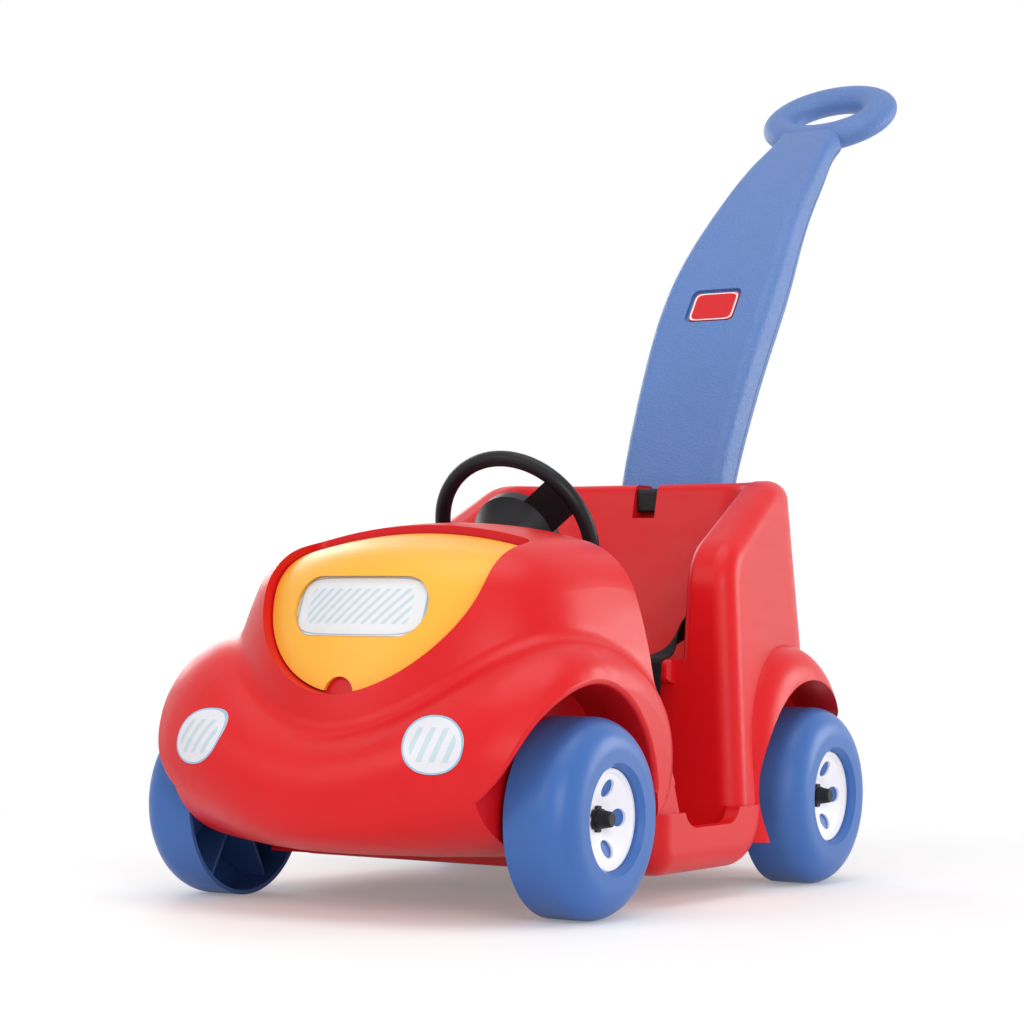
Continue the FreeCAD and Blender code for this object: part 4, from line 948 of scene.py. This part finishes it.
@dataclass
class Studio:
    """White room: pale floor, even white surround, soft lamps, and the photograph's camera."""

    camera_place: Triple = (2.6086, 1.466, 0.270)
    yaw: float = math.radians(31.69)
    pitch: float = math.radians(2.53)
    roll: float = math.radians(0.71)
    focal_pixels: float = 2667.8
    image_pixels: float = 1024.0
    sensor: float = 36.0
    view_range: Pair = (0.05, 200.0)
    backdrop: Colour = (1.0, 1.0, 1.0, 1.0)
    surround: float = 0.46
    floor_size: float = 60.0
    floor_colour: Colour = (0.94, 0.94, 0.94, 1.0)
    floor_roughness: float = 0.6
    floor_specular: float = 0.15
    fade: Pair = (0.5, 1.25)
    least_fade: float = 0.22
    lamps: tuple[SoftLamp, ...] = (
        SoftLamp("overhead_lamp", (0.6, 0.4, 3.2), 2.6, 38.0),
        SoftLamp("near_lamp", (3.0, -1.2, 1.9), 2.0, 20.0),
        SoftLamp("door_lamp", (2.5, 2.2, 1.2), 1.6, 34.0),
        SoftLamp("rim_lamp", (-2.2, 2.2, 0.9), 1.6, 40.0),
        SoftLamp("far_lamp", (-1.6, -2.6, 1.5), 1.6, 20.0))

    def camera(self) -> None:
        """Place the camera where the photograph was taken from."""
        deselect()
        bpy.ops.object.camera_add(location=self.camera_place)
        camera = bpy.context.object
        camera.name = "photo_camera"
        ahead = Vector((-math.cos(self.pitch) * math.cos(self.yaw),
                        -math.cos(self.pitch) * math.sin(self.yaw), math.sin(self.pitch)))
        level = ahead.cross(Vector((0.0, 0.0, 1.0))).normalized()
        upright = level.cross(ahead)
        right = math.cos(self.roll) * level + math.sin(self.roll) * upright
        up = -math.sin(self.roll) * level + math.cos(self.roll) * upright
        turn = Matrix((right, up, -ahead)).transposed()
        camera.rotation_euler = turn.to_euler()
        camera.data.sensor_width = self.sensor
        camera.data.lens = self.focal_pixels * self.sensor / self.image_pixels
        camera.data.clip_start, camera.data.clip_end = self.view_range
        camera.data.dof.use_dof = False
        bpy.context.scene.camera = camera

    @staticmethod
    def seen(tree: Tree) -> Socket:
        """Mask of what the camera sees straight, by a mirror or through something clear.

        Args:
            tree: the node tree of the floor or the room.

        Returns:
            One for such a ray and zero for any other.
        """
        path = tree.add("ShaderNodeLightPath").outputs
        return tree.math("MAXIMUM", path["Is Camera Ray"],
                         tree.math("MAXIMUM", path["Is Glossy Ray"], path["Is Transmission Ray"]))

    def floor(self) -> None:
        """Lay a plain pale floor that fades into the white surround and keeps the shadow."""
        deselect()
        bpy.ops.mesh.primitive_plane_add(size=self.floor_size, location=(0.0, 0.0, 0.0))
        floor = bpy.context.object
        floor.name = "studio_floor"
        paint = bpy.data.materials.new("pale_floor")
        paint.use_nodes = True
        tree = Tree(paint.node_tree)
        where = tree.add("ShaderNodeTexCoord").outputs["Object"]
        away = tree.add("ShaderNodeVectorMath", {0: where, 1: (MIDDLE_X, 0.0, 0.0)},
                        operation="DISTANCE").outputs["Value"]
        fade = tree.math("MULTIPLY", tree.spread(away, *self.fade, self.least_fade, 1.0),
                         self.seen(tree))
        surface = tree.add("ShaderNodeBsdfPrincipled", {
            "Base Color": self.floor_colour, "Roughness": self.floor_roughness,
            "Specular IOR Level": self.floor_specular})
        white = tree.add("ShaderNodeEmission", {"Color": self.backdrop, "Strength": 1.0})
        mixed = tree.add("ShaderNodeMixShader", {0: fade, 1: surface.outputs[0], 2: white.outputs[0]})
        tree.add("ShaderNodeOutputMaterial", {"Surface": mixed.outputs[0]})
        floor.data.materials.append(paint)

    def room(self) -> None:
        """Even white surround: white to the camera and in reflections, softer as a light."""
        world = bpy.data.worlds.new("white_room")
        world.use_nodes = True
        bpy.context.scene.world = world
        tree = Tree(world.node_tree)
        soft = tree.add("ShaderNodeBackground", {"Color": self.backdrop, "Strength": self.surround})
        white = tree.add("ShaderNodeBackground", {"Color": self.backdrop, "Strength": 1.0})
        mixed = tree.add("ShaderNodeMixShader", {
            0: self.seen(tree), 1: soft.outputs[0], 2: white.outputs[0]})
        tree.add("ShaderNodeOutputWorld", {"Surface": mixed.outputs[0]})

    def build(self) -> None:
        """Build the whole studio."""
        self.camera()
        self.floor()
        self.room()
        for lamp in self.lamps:
            lamp.build()
        bpy.context.scene.view_settings.view_transform = "Standard"
        LOG.info("studio ready")


def main() -> None:
    """Build the shared effects, dress each sub-assembly and set up the studio."""
    logging.basicConfig(level=logging.INFO, format="%(name)s: %(message)s")
    EffectLibrary().build()
    Studio().build()
    LapBelt().build()
    for assembly in (Bodywork(), HoodLid(), Headlamps(), RoadWheels(), SteeringGear(), PushHandle()):
        assembly.dress()


if __name__ == "__main__":
    main()
